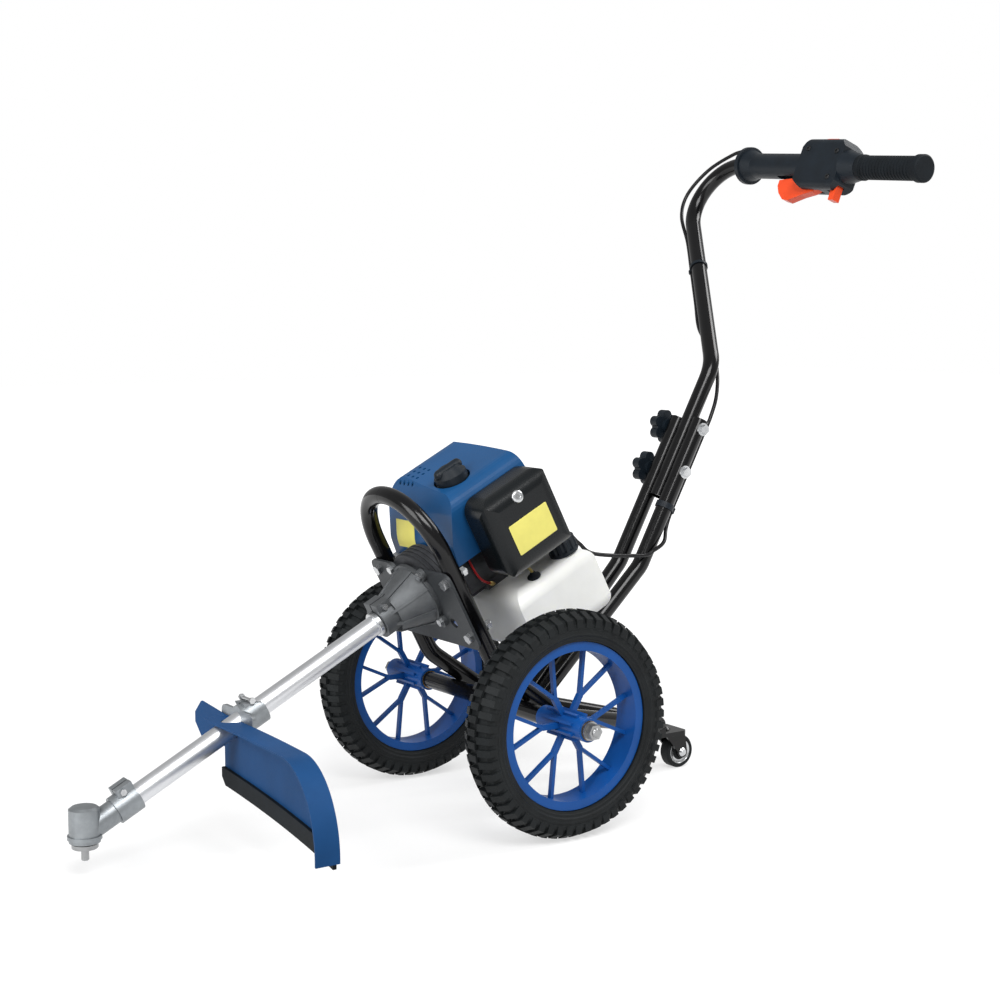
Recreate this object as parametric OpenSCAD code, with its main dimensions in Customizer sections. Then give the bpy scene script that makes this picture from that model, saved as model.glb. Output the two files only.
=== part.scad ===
// Wheeled string trimmer: a two-wheel hand cart that carries a small petrol engine, with a fixed
// cutting boom in front, a trailing caster and a folding one-sided handle behind.
// Machine axes: X forwards to the cutter, Y to the operator's left, Z up, millimetres.

/* [Wheels] */
// Outside diameter of a tyre over its lugs
wheel_d = 315; // [300:1:330]
// Width of a tyre
tyre_w = 56; // [52:1:62]
// Depth of the tread lugs
lug_h = 5.5; // [3:0.5:7]
// Tread lugs round one row
lug_count = 56; // [40:2:64]
// Width of a lug along the tread
lug_w = 9.5; // [7:0.5:12]
// Outside diameter of the rim lips
rim_d = 232; // [226:1:238]
// Width of the rim over its lips
rim_w = 42; // [38:1:46]
// Thickness of a rim lip
rim_lip = 4; // [3:0.5:5]
// Pairs of spoke arms
spoke_count = 6; // [5:1:8]
// Width of a spoke stem
stem_w = 8; // [6:0.5:14]
// Width of a spoke arm
arm_w = 5; // [4:0.5:10]
// Radius at which a spoke stem splits into two arms
fork_r = 42; // [34:1:60]
// Angle of a spoke's rim tip from its stem
arm_spread = 15; // [11:0.5:18]
// Depth of the spokes along the axle
spoke_t = 7; // [5:0.5:15]
// Length of a hub
hub_len = 100; // [90:1:110]
// Diameter of the hub core
hub_d = 33; // [30:1:38]
// Height of the ribs along the hub
hub_rib = 4; // [2:0.5:6]
// Distance between the middles of the two tyres
track = 400; // [380:1:430]

/* [Axle] */
// Diameter of the axle rod
axle_d = 12; // [10:0.5:14]
// Outside diameter of the hub bushes
bush_d = 19; // [18:0.5:22]
// Length of a hub bush inside its hub
bush_len = 16; // [12:1:20]
// Thickness of a hub bush's flange
bush_flange = 2; // [1.5:0.5:3]
// Width across flats of the axle nuts
axle_nut_af = 19; // [17:1:22]
// Height of an axle nut
axle_nut_h = 10; // [8:0.5:12]

/* [Frame] */
// Outside diameter of the frame, mast and handle tubes
tube_d = 25; // [22:0.5:28]
// Wall of those tubes
tube_wall = 1.8; // [1.2:0.1:2.5]
// Half width of the engine hoop, middle to tube centre
hoop_half = 88; // [84:1:96]
// Height of the hoop's top above the crank axis
hoop_top = 152; // [146:1:162]
// Slope of the rails where they cross the axle
rail_slope = 35; // [30:1:40]
// Distance from the axle crossing to the rails' knee
knee_run = 74; // [66:1:82]
// Bend radius of the rails and of the mast
bend_r = 55; // [45:1:62]
// Width of the engine plate
plate_w = 208; // [204:1:216]
// Top of the engine plate above the crank axis
plate_top = 44; // [38:1:50]
// Bottom of the engine plate below the crank axis
plate_bottom = 80; // [70:1:92]
// Thickness of the engine plate
plate_t = 4; // [3:0.5:6]

/* [Caster] */
// Diameter of the caster wheel
caster_d = 52; // [46:1:56]
// Width of the caster wheel
caster_w = 22; // [18:1:26]
// Distance from the axle back to the caster's swivel
caster_back = 341; // [330:1:352]
// Trail of the caster wheel behind its swivel
caster_trail = 25; // [20:1:30]
// Diameter of the swivel stem
stem_d = 12; // [10:0.5:14]
// Diameter of the caster's wheel pin
caster_pin_d = 8; // [6:0.5:10]

/* [Mast and handle] */
// Slope of the lower mast
mast_low_slope = 45.5; // [43:0.5:48]
// Slope of the upper mast and handle
mast_slope = 61.5; // [58:0.5:65]
// Distance of the handle's pivot bolt behind the axle
pivot_back = 344; // [334:1:354]
// Height of the handle's pivot bolt
pivot_z = 472; // [460:1:484]
// Distance between the two mast bolts
bolt_gap = 73; // [66:1:80]
// Diameter of the mast bolts
mast_bolt_d = 8; // [6:0.5:10]
// Length of the handle tube below its pivot
tail_len = 45; // [38:1:52]
// Length of the handle tube from its pivot to its kink
kink_len = 183; // [170:1:196]
// Distance from the pivot to the handle tube's top corner, along the mast
corner_len = 566; // [550:1:580]
// Droop of the bar towards its free end
bar_droop = 5; // [0:0.5:8]
// Reach of the bar's end to the left
bar_reach = 280; // [265:1:290]
// Reach of the handle tube's top corner to the right
corner_reach = 285; // [275:1:295]
// Bend radius of the handle tube
handle_bend_r = 70; // [62:1:74]
// Diameter over the lobes of a star knob
knob_d = 52; // [46:1:58]
// Thickness of a star knob
knob_t = 24; // [18:1:28]

/* [Throttle grip] */
// Place of the throttle body along the bar, from the end of its bend
throttle_at = 14; // [10:1:18]
// Length of the round part of the throttle body with its flange
throttle_neck = 145; // [138:1:150]
// Length of the throttle body's block
throttle_block = 96; // [92:1:102]
// Diameter of the round part of the throttle body
throttle_d = 41; // [38:0.5:44]
// Roll of the throttle body about the bar, trigger forwards
throttle_roll = 8.5; // [0:0.5:28]
// Diameter of the flange at the inner end
throttle_flange_d = 61; // [54:1:66]
// Height of the block
block_h = 82; // [78:1:88]
// Depth of the block
block_t = 44; // [42:1:50]
// Width of the trigger blade
trigger_w = 14; // [11:0.5:16]
// Diameter of the trigger's pivot pin
trigger_pin_d = 4; // [3:0.5:5]
// Diameter of the rubber grip
grip_d = 37; // [34:0.5:40]
// Rings round the rubber grip
grip_rings = 16; // [10:1:20]

/* [Boom] */
// Tilt of the boom and engine, front end down
boom_tilt = 27.5; // [25:0.5:29]
// Height of the crank axis at the engine plate
crank_z = 321; // [315:1:330]
// Distance of the plate's front face ahead of the axle, along the ground
crank_x = 112; // [108:1:118]
// Outside diameter of the boom tube
boom_d = 28; // [26:0.5:30]
// Wall of the boom tube
boom_wall = 1.5; // [1.2:0.1:2]
// Distance from the engine plate to the cutter spindle, along the boom
boom_len = 565; // [550:1:580]
// Length of the clutch housing
cone_len = 76; // [70:1:82]
// Diameter of the clutch housing's base
cone_base_d = 94; // [88:1:98]
// Diameter of the clutch housing's mouth
cone_mouth_d = 56; // [52:1:60]
// Diameter of the drive shaft
drive_d = 8; // [7:0.5:10]
// Diameter of the clutch drum
drum_d = 68; // [62:1:70]
// Diameter of the gear head
head_d = 40; // [38:1:44]
// Height of the gear head
head_h = 46; // [44:1:50]
// Diameter of the output spindle
spindle_d = 12; // [10:0.5:13]
// Diameter of the spindle's free end, which takes the cutting head
cutter_pin_d = 10; // [8:0.5:11]
// Length of the spindle's free end
cutter_pin_len = 16; // [12:1:18]

/* [Guard] */
// Place of the guard where the boom passes it, in front of the axle
guard_x = 400; // [394:1:406]
// Reach of the guard to the left
guard_reach = 312; // [304:1:318]
// Height of the guard's lower edge at its outer end
guard_bottom = 66; // [60:1:72]
// Height of the guard's top
guard_top = 177; // [172:1:184]
// Slope of the guard's lower edge, down to its outer end
guard_slope = 4.5; // [3:0.5:6]
// Reach of the guard's inner edge to the right
guard_root = 31; // [26:1:36]
// Radius of the guard's outer corner
guard_corner = 105; // [95:1:106]
// Thickness of the guard
guard_t = 3; // [2:0.5:4]
// Depth of the lip along the guard's top and outer end
guard_lip = 30; // [22:1:34]
// Radius of the guard's curve seen from above
guard_r = 2500; // [2000:100:3200]
// Reach of the guard's ear to the right
ear_reach = 118; // [110:1:126]
// Height of the guard's edging strip
strip_h = 23; // [18:1:28]
// Thickness of the edging strip
strip_t = 5; // [4:0.5:7]

/* [Engine] */
// Radius of the fan housing behind the plate
fan_r = 60; // [56:1:64]
// Depth of the fan housing
fan_t = 32; // [28:1:34]
// Radius of the crankcase
case_r = 46; // [42:1:50]
// Distance of the cylinder's axis behind the plate
cylinder_back = 122; // [116:1:128]
// Radius of the cylinder's fins
fin_r = 36; // [32:1:40]
// Number of cylinder fins
fin_count = 8; // [6:1:10]
// Height of the engine cover's top above the crank axis
cover_top = 120; // [114:1:126]
// Rise of the engine cover's top towards its right side
cover_rise = 18; // [12:1:22]
// Height of the engine cover's lower edge above the crank axis
cover_bottom = 29; // [24:1:34]
// Rear end of the engine cover behind the plate
cover_back = 206; // [198:1:212]
// Reach of the engine cover to the right
cover_right = 97; // [92:1:102]
// Reach of the engine cover to the left
cover_left = 70; // [66:1:71]
// Wall of the engine cover
cover_wall = 2.5; // [2:0.5:3.5]
// Width of the air filter cover, front to back
filter_w = 122; // [114:1:128]
// Height of the air filter cover
filter_h = 122; // [114:1:128]
// Depth of the air filter cover, from the engine outwards
filter_t = 58; // [52:1:64]
// Length of the fuel tank
tank_len = 146; // [138:1:152]
// Height of the fuel tank
tank_h = 104; // [96:1:110]
// Width of the fuel tank
tank_w = 178; // [170:1:184]
// Wall of the fuel tank
tank_wall = 3; // [2:0.5:4]
// Diameter of the fuel cap
fuel_cap_d = 44; // [40:1:48]
// Height of the fuel cap
fuel_cap_h = 24; // [20:1:28]
// Radius of the recoil starter
recoil_r = 45; // [40:1:45]

/* [Hidden] */
$fn = 48;

// Fits and small gaps
run_fit = 0.05;   // radial clearance of a turning fit
seat = 0.3;       // gap of curved faces that rest on each other
fix_fit = 0.02;   // radial clearance of a fixed fit
play = 0.5;       // side clearance of a moving piece
lap = 1.5;        // overlap of a bend with the straight tube beside it
skin = 0.1;       // extra wall of a bend over the straight tube
eps = 1;          // overrun of a cut

// Places on the machine
axle_z = wheel_d / 2;
tube_r = tube_d / 2;
boom_dir = [cos(boom_tilt), 0, -sin(boom_tilt)];
boom_up = [sin(boom_tilt), 0, cos(boom_tilt)];
crank_at = [crank_x, 0, crank_z];
function on_engine(x, y, n) = crank_at + boom_dir * x + boom_up * n + [0, y, 0];

// The rails rest on the axle tube, rise in front to the hoop's legs and run back to the caster
hoop_x = -plate_t - tube_r - seat;
rail_dir = [-cos(rail_slope), 0, -sin(rail_slope)];
axle_crossing = [0, 0, axle_z] + (tube_d + seat) * [-sin(rail_slope), 0, cos(rail_slope)];
leg_line = on_engine(hoop_x, 0, 0);
corner_drop = cross(axle_crossing - leg_line, rail_dir).y / cross(-boom_up, rail_dir).y;
leg_lead = 3;
leg_turn = acos(-boom_up * rail_dir);
hoop_leg = corner_drop - bend_r * tan(leg_turn / 2) - leg_lead;
rail_corner = leg_line - boom_up * corner_drop;
leg_end = leg_line - boom_up * hoop_leg;
rail_knee = axle_crossing + rail_dir * knee_run;
plate_gap = 6;
bracket_t = 6;
bracket_top = caster_d + plate_gap + bracket_t;
rail_end_half = tube_r + 3;
rail_end = [-caster_back + 24, rail_end_half, bracket_top + tube_r + seat];

// Mast: its foot stands on the cross tube at the knee, its upper part carries the handle
mast_dir = [-cos(mast_slope), 0, sin(mast_slope)];
mast_low_dir = [-cos(mast_low_slope), 0, sin(mast_low_slope)];
pivot_at = [-pivot_back, 0, pivot_z];
mast_elbow_run = cross(pivot_at - rail_knee, mast_dir).y / cross(mast_low_dir, mast_dir).y;
mast_elbow = rail_knee + mast_low_dir * mast_elbow_run;
mast_foot_half = tube_r + play;
mast_top_half = tube_d + play;
mast_head = 15;

// Handle, in the mast's plane: sideways place first, then distance along the mast from the pivot
handle_corner = [-corner_reach, corner_len];
bar_dir = [cos(bar_droop), -sin(bar_droop)];
corner_angle = acos((handle_corner - [0, kink_len]) / norm(handle_corner - [0, kink_len]) * bar_dir);
bar_start = handle_corner + handle_bend_r * tan(corner_angle / 2) * bar_dir;
bar_len = (bar_reach - bar_start.x) / cos(bar_droop);

// Throttle grip along the bar
neck_end = throttle_at + throttle_neck;
block_end = neck_end + throttle_block;
end_cone = 28;
grip_at = block_end + end_cone;
grip_len = bar_len - grip_at;

// Bolts: the two large sizes share one head and nut
large_af = 13;
large_head = 5.5;
large_nut = 6.5;
thread_end = 2.5;
hoop_bolt_d = 8;
flange_bolt_d = 6;
flange_bolt_af = 10;
flange_bolt_head = 4;
tapped_depth = 12;
clamp_bolt_d = 5;
clamp_bolt_af = 8;
clamp_bolt_head = 4;
flange_bolt_r = cone_base_d / 2 + 7;
cone_flange_t = 6;
crank_hole_r = drum_d / 2 - 6;

// Boom and gear head
spindle_at = on_engine(boom_len, 0, 0);
boom_end = boom_len - 50;
boom_seat = cone_len - 34;

// Paints and finishes
blue = "#2a5a8c";
rim_blue = "#2a5fb0";
black = "#17191b";
steel = "#c9ccd0";
alloy = "#a9adb2";
orange = "#ee5020";

// Small helpers
function unit(v) = v / norm(v);
function turn(p, i) = acos(unit(p[i] - p[i - 1]) * unit(p[i + 1] - p[i]));
function bend_trim(p, i, r) = (i == 0 || i == len(p) - 1) ? 0 : r * tan(turn(p, i) / 2);

module ring(od, wall) {
  difference() {
    circle(d = od);
    if (2 * wall < od) circle(d = od - 2 * wall);
  }
}

// An outline carried straight from point a to point b
module straight(a, b) {
  d = b - a;
  translate(a)
    rotate([0, acos(d.z / norm(d)), atan2(d.y, d.x)])
      linear_extrude(norm(d)) children();
}

// The bend at corner i of a path
module elbow(p, i, r) {
  d1 = unit(p[i] - p[i - 1]);
  d2 = unit(p[i + 1] - p[i]);
  n = unit(cross(d1, d2));
  c = cross(n, d1);
  o = p[i] - d1 * bend_trim(p, i, r) + c * r;
  multmatrix([[-c.x, d1.x, n.x, o.x], [-c.y, d1.y, n.y, o.y], [-c.z, d1.z, n.z, o.z], [0, 0, 0, 1]])
    rotate_extrude(angle = turn(p, i)) translate([r, 0]) children();
}

// A round tube along a path of corners, bent at each inner one
module bent_tube(p, r, od = tube_d, wall = tube_wall) {
  last = len(p) - 1;
  for (i = [0:last - 1]) {
    u = unit(p[i + 1] - p[i]);
    from = (i == 0) ? 0 : bend_trim(p, i, r) - lap;
    to = (i + 1 == last) ? 0 : bend_trim(p, i + 1, r) - lap;
    straight(p[i] + u * from, p[i + 1] - u * to) ring(od, wall);
  }
  for (i = [1:last - 1])
    elbow(p, i, r) ring(od + 2 * skin, wall + 2 * skin);
}

// A rectangle with round corners, its lower left corner at the origin
module round_rect(size, r) {
  translate([r, 0]) square([size.x - 2 * r, size.y]);
  translate([0, r]) square([size.x, size.y - 2 * r]);
  for (x = [r, size.x - r])
    for (y = [r, size.y - r])
      translate([x, y]) circle(r = r);
}

function backwards(p) = [for (i = [len(p) - 1:-1:0]) p[i]];
function mirrored(p) = [for (q = p) [q.x, -q.y]];

module hexagon(af) {
  circle(d = af / cos(30), $fn = 6);
}

module on_wheel(side) {
  translate([0, side * track / 2, axle_z]) rotate([-90, 0, 0]) children();
}

module at_engine() {
  translate(crank_at) rotate([0, boom_tilt, 0]) children();
}

// The boom's frame: its own Z runs forwards along the crank axis
module along_boom() {
  at_engine() rotate([0, 90, 0]) children();
}

module at_mast() {
  translate(pivot_at) rotate([0, mast_slope - 90, 0]) children();
}

// The bar's frame: X along the bar to its free end, Y to the rear, Z up
module at_bar() {
  at_mast()
    translate([0, bar_start[0], bar_start[1]])
      rotate([-bar_droop, 0, 0]) rotate([0, 0, 90]) rotate([throttle_roll, 0, 0])
        children();
}

// Wheels
bead_drop = 8;    // bead seat below the rim's lip

module tyre(side) {
  top = wheel_d / 2 - lug_h;
  wall = 6;
  bead = rim_d / 2 - bead_drop;
  over_lip = rim_d / 2 + 1;
  half = tyre_w / 2;
  bead_half = rim_w / 2 - rim_lip - seat;
  outer = [
    [bead, bead_half - wall], [bead, bead_half], [over_lip, bead_half], [over_lip, half - 4],
    [over_lip + 9, half], [top - 12, half], [top - 3, half - 6], [top, half - 16],
  ];
  inner = [
    [over_lip + 3, bead_half - wall], [over_lip + 5, half - wall - 3], [over_lip + 11, half - wall],
    [top - 15, half - wall], [top - 7, half - wall - 5], [top - wall, half - 20],
  ];
  middle_row = [[top - 2, -8], [top + lug_h, -8], [top + lug_h, 8], [top - 2, 8]];
  proud = 1.2;
  side_row = [[top - 6, 11], [top + lug_h - 1, 11], [top - 4, half + proud], [top - 16, half + proud], [top - 17, half - 1]];
  rows = [middle_row, side_row, mirrored(side_row)];
  on_wheel(side) color(black) {
    rotate_extrude()
      polygon(concat(outer, backwards(mirrored(outer)), mirrored(inner), backwards(inner)));
    for (k = [0:2])
      intersection() {
        rotate_extrude() polygon(rows[k]);
        linear_extrude(tyre_w + 2 * eps, center = true)
          for (i = [0:lug_count - 1])
            rotate((i + (k == 0 ? 0.5 : 0)) * 360 / lug_count)
              translate([top - 20, -lug_w / 2]) square([40, lug_w]);
      }
  }
}

module spoke() {
  tip_r = rim_d / 2 - 10;
  tip = tip_r * [cos(arm_spread), sin(arm_spread)] - [fork_r, 0];
  translate([hub_d / 2 - 2, -stem_w / 2]) square([fork_r - hub_d / 2 + 2, stem_w]);
  translate([fork_r, 0]) circle(d = stem_w);
  for (m = [0, 1])
    mirror([0, m]) translate([fork_r, 0]) rotate(atan2(tip.y, tip.x))
      translate([0, -arm_w / 2]) square([norm(tip), arm_w]);
}

module rim(side) {
  seat_r = rim_d / 2 - bead_drop - seat;
  well_r = seat_r - 4;
  hub_ribs = 8;
  rib_w = 4;
  on_wheel(side) color(rim_blue) difference() {
    union() {
      rotate_extrude() polygon([
        [well_r, -rim_w / 2], [rim_d / 2, -rim_w / 2], [rim_d / 2, rim_lip - rim_w / 2],
        [seat_r, rim_lip - rim_w / 2], [seat_r, rim_w / 2 - rim_lip],
        [rim_d / 2, rim_w / 2 - rim_lip], [rim_d / 2, rim_w / 2], [well_r, rim_w / 2],
      ]);
      linear_extrude(spoke_t, center = true)
        for (i = [0:spoke_count - 1])
          rotate(i * 360 / spoke_count) spoke();
      cylinder(d = hub_d, h = hub_len, center = true);
      linear_extrude(hub_len - 2 * bush_len, center = true)
        for (i = [0:hub_ribs - 1])
          rotate((i + 0.5) * 360 / hub_ribs) translate([0, -rib_w / 2])
            square([hub_d / 2 + hub_rib, rib_w]);
    }
    cylinder(d = bush_d + 2 * fix_fit, h = hub_len + 2 * eps, center = true);
  }
}

module hub_bushes(side) {
  on_wheel(side) color(steel)
    for (m = [0, 1])
      mirror([0, 0, m]) difference() {
        union() {
          translate([0, 0, hub_len / 2 - bush_len]) cylinder(d = bush_d, h = bush_len);
          translate([0, 0, hub_len / 2]) cylinder(d = bush_d + 8, h = bush_flange);
        }
        cylinder(d = axle_d + 2 * run_fit, h = hub_len);
      }
}

module left_tyre() { tyre(1); }
module right_tyre() { tyre(-1); }
module left_rim() { rim(1); }
module right_rim() { rim(-1); }
module left_hub_bushes() { hub_bushes(1); }
module right_hub_bushes() { hub_bushes(-1); }

// Axle
hub_out = track / 2 + hub_len / 2 + bush_flange + play;
hub_in = track / 2 - hub_len / 2 - bush_flange - play;
washer_t = 2.5;
axle_half = hub_out + washer_t + axle_nut_h + 3;

module axle_tube() {
  color(black) translate([0, 0, axle_z]) rotate([-90, 0, 0])
    linear_extrude(2 * hub_in, center = true) difference() {
      circle(d = tube_d);
      circle(d = axle_d + 2 * seat);
    }
}

module axle_rod() {
  color(steel) translate([0, 0, axle_z]) rotate([-90, 0, 0]) {
    cylinder(d = axle_d, h = 2 * axle_half - 4, center = true);
    for (m = [0, 1])
      mirror([0, 0, m]) translate([0, 0, axle_half - 2]) cylinder(d1 = axle_d, d2 = axle_d - 3, h = 2);
  }
}

module axle_nuts() {
  color(steel) translate([0, 0, axle_z]) rotate([-90, 0, 0])
    for (m = [0, 1])
      mirror([0, 0, m]) translate([0, 0, hub_out]) difference() {
        union() {
          cylinder(d = axle_nut_af + 7, h = washer_t);
          linear_extrude(washer_t + axle_nut_h) hexagon(axle_nut_af);
        }
        translate([0, 0, -eps])
          cylinder(d = axle_d + 2 * fix_fit, h = washer_t + axle_nut_h + 2 * eps);
      }
}

// Frame
hoop_bolt_n = [plate_top - 16, 20 - plate_bottom];

module hoop_bolt_holes() {
  at_engine()
    for (y = [-hoop_half, hoop_half])
      for (n = hoop_bolt_n)
        translate([hoop_x - tube_d, y, n]) rotate([0, 90, 0])
          cylinder(d = hoop_bolt_d + 2 * seat, h = 2 * tube_d + plate_t);
}

module front_hoop() {
  r = hoop_half - 1;
  color(black) difference() {
    at_engine() bent_tube([
      [hoop_x, -hoop_half, -hoop_leg], [hoop_x, -hoop_half, hoop_top],
      [hoop_x, hoop_half, hoop_top], [hoop_x, hoop_half, -hoop_leg],
    ], r);
    hoop_bolt_holes();
  }
}

function rail_path(side) = [
  leg_end + [0, side * hoop_half, 0], rail_corner + [0, side * hoop_half, 0],
  rail_knee + [0, side * hoop_half, 0], [rail_end.x, side * rail_end.y, rail_end.z],
];

module left_rail() {
  color(black) bent_tube(rail_path(1), bend_r);
}

module right_rail() {
  color(black) bent_tube(rail_path(-1), bend_r);
}

module cross_tube() {
  color(black) difference() {
    translate(rail_knee) rotate([-90, 0, 0])
      linear_extrude(2 * hoop_half, center = true) ring(tube_d, tube_wall);
    for (side = [-1, 1])
      bent_tube(rail_path(side), bend_r, tube_d + 2 * seat, tube_d);
  }
}

module engine_plate() {
  corner = 14;
  vent_half = 62;
  vent_d = 16;
  color("#5b6066") difference() {
    at_engine() difference() {
      translate([-plate_t, -plate_w / 2, -plate_bottom]) rotate([90, 0, 90])
        linear_extrude(plate_t) round_rect([plate_w, plate_bottom + plate_top], corner);
      translate([-plate_t - eps, 0, 0]) rotate([0, 90, 0]) cylinder(r = crank_hole_r, h = plate_t + 2 * eps);
      for (y = [-vent_half, vent_half])
        translate([-plate_t - eps, y, -plate_bottom / 2]) rotate([0, 90, 0])
          cylinder(d = vent_d, h = plate_t + 2 * eps);
    }
    hoop_bolt_holes();
    flange_bolt_holes();
  }
}

module hex_bolt(d, grip, af, head, nut) {
  cylinder(d = d, h = grip + nut);
  translate([0, 0, -head]) linear_extrude(head) hexagon(af);
}

module plate_bolts() {
  grip = plate_t + tube_d + 2 * seat;
  color(steel) {
    at_engine()
      for (y = [-hoop_half, hoop_half])
        for (n = hoop_bolt_n)
          translate([0, y, n]) rotate([0, -90, 0]) {
            hex_bolt(hoop_bolt_d, grip, large_af, large_head, large_nut + thread_end);
            translate([0, 0, grip]) linear_extrude(large_nut) hexagon(large_af);
          }
    along_boom()
      for (i = [0:3])
        rotate(45 + 90 * i) translate([flange_bolt_r, 0, cone_flange_t]) rotate([180, 0, 0])
          hex_bolt(flange_bolt_d, cone_flange_t + plate_t + tapped_depth,
            flange_bolt_af, flange_bolt_head, 0);
  }
}

// Caster
module caster_bracket() {
  length = 76;
  behind = 24;
  half_w = 28;
  saddle_at = 44;
  saddle_h = 9;
  color(black) difference() {
    translate([-caster_back - behind, -half_w, bracket_top - bracket_t]) {
      linear_extrude(bracket_t) round_rect([length, 2 * half_w], 8);
      translate([saddle_at, 0, 0]) cube([length - saddle_at, 2 * half_w, bracket_t + saddle_h]);
    }
    for (side = [-1, 1]) {
      p = rail_path(side);
      straight(p[3] + 10 * unit(p[3] - p[2]), p[2]) circle(d = tube_d + 2 * seat);
    }
    translate([-caster_back, 0, 0]) cylinder(d = stem_d + 2 * run_fit, h = 2 * bracket_top);
  }
}

module caster_fork() {
  crown_top = bracket_top - bracket_t - seat;
  crown_t = 4;
  cheek_in = caster_w / 2 + 1;
  cheek_t = 4;
  eye_r = 9;
  color("#3a3d40") difference() {
    union() {
      translate([-caster_back, 0, crown_top - crown_t]) {
        cylinder(d = 34, h = crown_t);
        cylinder(d = stem_d, h = crown_t + seat + bracket_t + seat + 3);
        translate([0, 0, crown_t + bracket_t + 2 * seat]) cylinder(d1 = stem_d + 8, d2 = stem_d, h = 4);
        translate([-caster_trail, -cheek_in - cheek_t, 0])
          cube([caster_trail, 2 * (cheek_in + cheek_t), crown_t]);
      }
      for (m = [0, 1])
        mirror([0, m, 0]) translate([0, cheek_in + cheek_t, 0]) rotate([90, 0, 0])
          linear_extrude(cheek_t) {
            translate([-caster_back - caster_trail, caster_d / 2]) circle(r = eye_r);
            polygon([
              [-caster_back - caster_trail - eye_r, caster_d / 2],
              [-caster_back - caster_trail + eye_r, caster_d / 2],
              [-caster_back + 10, crown_top], [-caster_back - caster_trail - 4, crown_top],
            ]);
          }
    }
    translate([-caster_back - caster_trail, 0, caster_d / 2]) rotate([90, 0, 0])
      cylinder(d = caster_pin_d + 2 * fix_fit, h = 2 * caster_d, center = true);
  }
}

module caster_pin() {
  half = caster_w / 2 + 5;
  color(steel) translate([-caster_back - caster_trail, 0, caster_d / 2]) rotate([90, 0, 0]) {
    cylinder(d = caster_pin_d, h = 2 * half, center = true);
    for (m = [0, 1])
      mirror([0, 0, m]) translate([0, 0, half]) cylinder(d1 = 14, d2 = 9, h = 3);
  }
}

module caster_wheel() {
  r = caster_d / 2;
  color("#2a2c2e") translate([-caster_back - caster_trail, 0, r]) rotate([90, 0, 0])
    rotate_extrude() polygon([
      [caster_pin_d / 2 + run_fit, -caster_w / 2], [11, -caster_w / 2], [13, 4 - caster_w / 2],
      [18, 4 - caster_w / 2], [20, 1 - caster_w / 2], [r - 2, 1 - caster_w / 2], [r, 4 - caster_w / 2],
      [r, caster_w / 2 - 4], [r - 2, caster_w / 2 - 1], [20, caster_w / 2 - 1], [18, caster_w / 2 - 4],
      [13, caster_w / 2 - 4], [11, caster_w / 2], [caster_pin_d / 2 + run_fit, caster_w / 2],
    ]);
}

// Mast
function mast_path(side) = [
  rail_knee + [0, side * mast_foot_half, 0], mast_elbow + [0, side * mast_top_half, 0],
  pivot_at + mast_dir * (bolt_gap + mast_head) + [0, side * mast_top_half, 0],
];

module mast_bolt_holes() {
  at_mast()
    for (t = [0, bolt_gap])
      translate([0, 0, t]) rotate([90, 0, 0])
        cylinder(d = mast_bolt_d + 2 * seat, h = 6 * tube_d, center = true);
}

module mast_tube(side) {
  color(black) difference() {
    bent_tube(mast_path(side), bend_r);
    translate(rail_knee) rotate([90, 0, 0])
      cylinder(d = tube_d + 2 * seat, h = 2 * hoop_half, center = true);
    mast_bolt_holes();
  }
}

module mast_left_tube() { mast_tube(1); }
module mast_right_tube() { mast_tube(-1); }

mast_out = mast_top_half + tube_r + seat;

module mast_bolts() {
  color(steel) at_mast()
    for (t = [0, bolt_gap])
      translate([0, mast_out, t]) rotate([90, 0, 0]) {
        cylinder(d = mast_bolt_d, h = 2 * mast_out + knob_t - 6);
        translate([0, 0, -washer_t]) cylinder(d = 20, h = washer_t);
        translate([0, 0, -washer_t - large_head]) linear_extrude(large_head) hexagon(large_af);
      }
}

module star_knob(t) {
  lobe_r = 8.5;
  neck_h = 6;
  color(black) at_mast() translate([0, -mast_out, t]) rotate([90, 0, 0]) difference() {
    union() {
      cylinder(d = 24, h = knob_t);
      translate([0, 0, neck_h]) linear_extrude(knob_t - neck_h - 3) {
        circle(d = knob_d - 2 * lobe_r + 4);
        for (i = [0:5])
          rotate(60 * i) translate([knob_d / 2 - lobe_r, 0]) circle(r = lobe_r);
      }
      translate([0, 0, knob_t - 3]) cylinder(d1 = knob_d - 2 * lobe_r, d2 = 20, h = 3);
    }
    translate([0, 0, -eps]) cylinder(d = mast_bolt_d + 2 * run_fit, h = knob_t - 5 + eps);
  }
}

module upper_knob() { star_knob(bolt_gap); }
module lower_knob() { star_knob(0); }

// Handle
module handle_tube() {
  notch_drop = 1.6;
  bar_end = bar_start + bar_len * bar_dir;
  color(black) at_mast() difference() {
    bent_tube([
      [0, 0, -tail_len], [0, 0, kink_len], [0, handle_corner.x, handle_corner.y], [0, bar_end.x, bar_end.y],
    ], handle_bend_r);
    rotate([90, 0, 0]) cylinder(d = mast_bolt_d + 2 * run_fit, h = 2 * tube_d, center = true);
    translate([0, 0, bolt_gap]) rotate([90, 0, 0])
      cylinder(d = mast_bolt_d + 2 * seat, h = 2 * tube_d, center = true);
    translate([-tube_d, -tube_d, bolt_gap - mast_bolt_d / 2 - notch_drop])
      cube([tube_d, 2 * tube_d, mast_bolt_d + notch_drop + seat]);
  }
}

// Throttle grip
trigger_pivot = [neck_end + 44, -24];
switch_pivot = [block_end - 12, -30];
lock_at = neck_end + 30;
lock_len = 24;
lock_w = 12;
lock_floor = 30;

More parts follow.
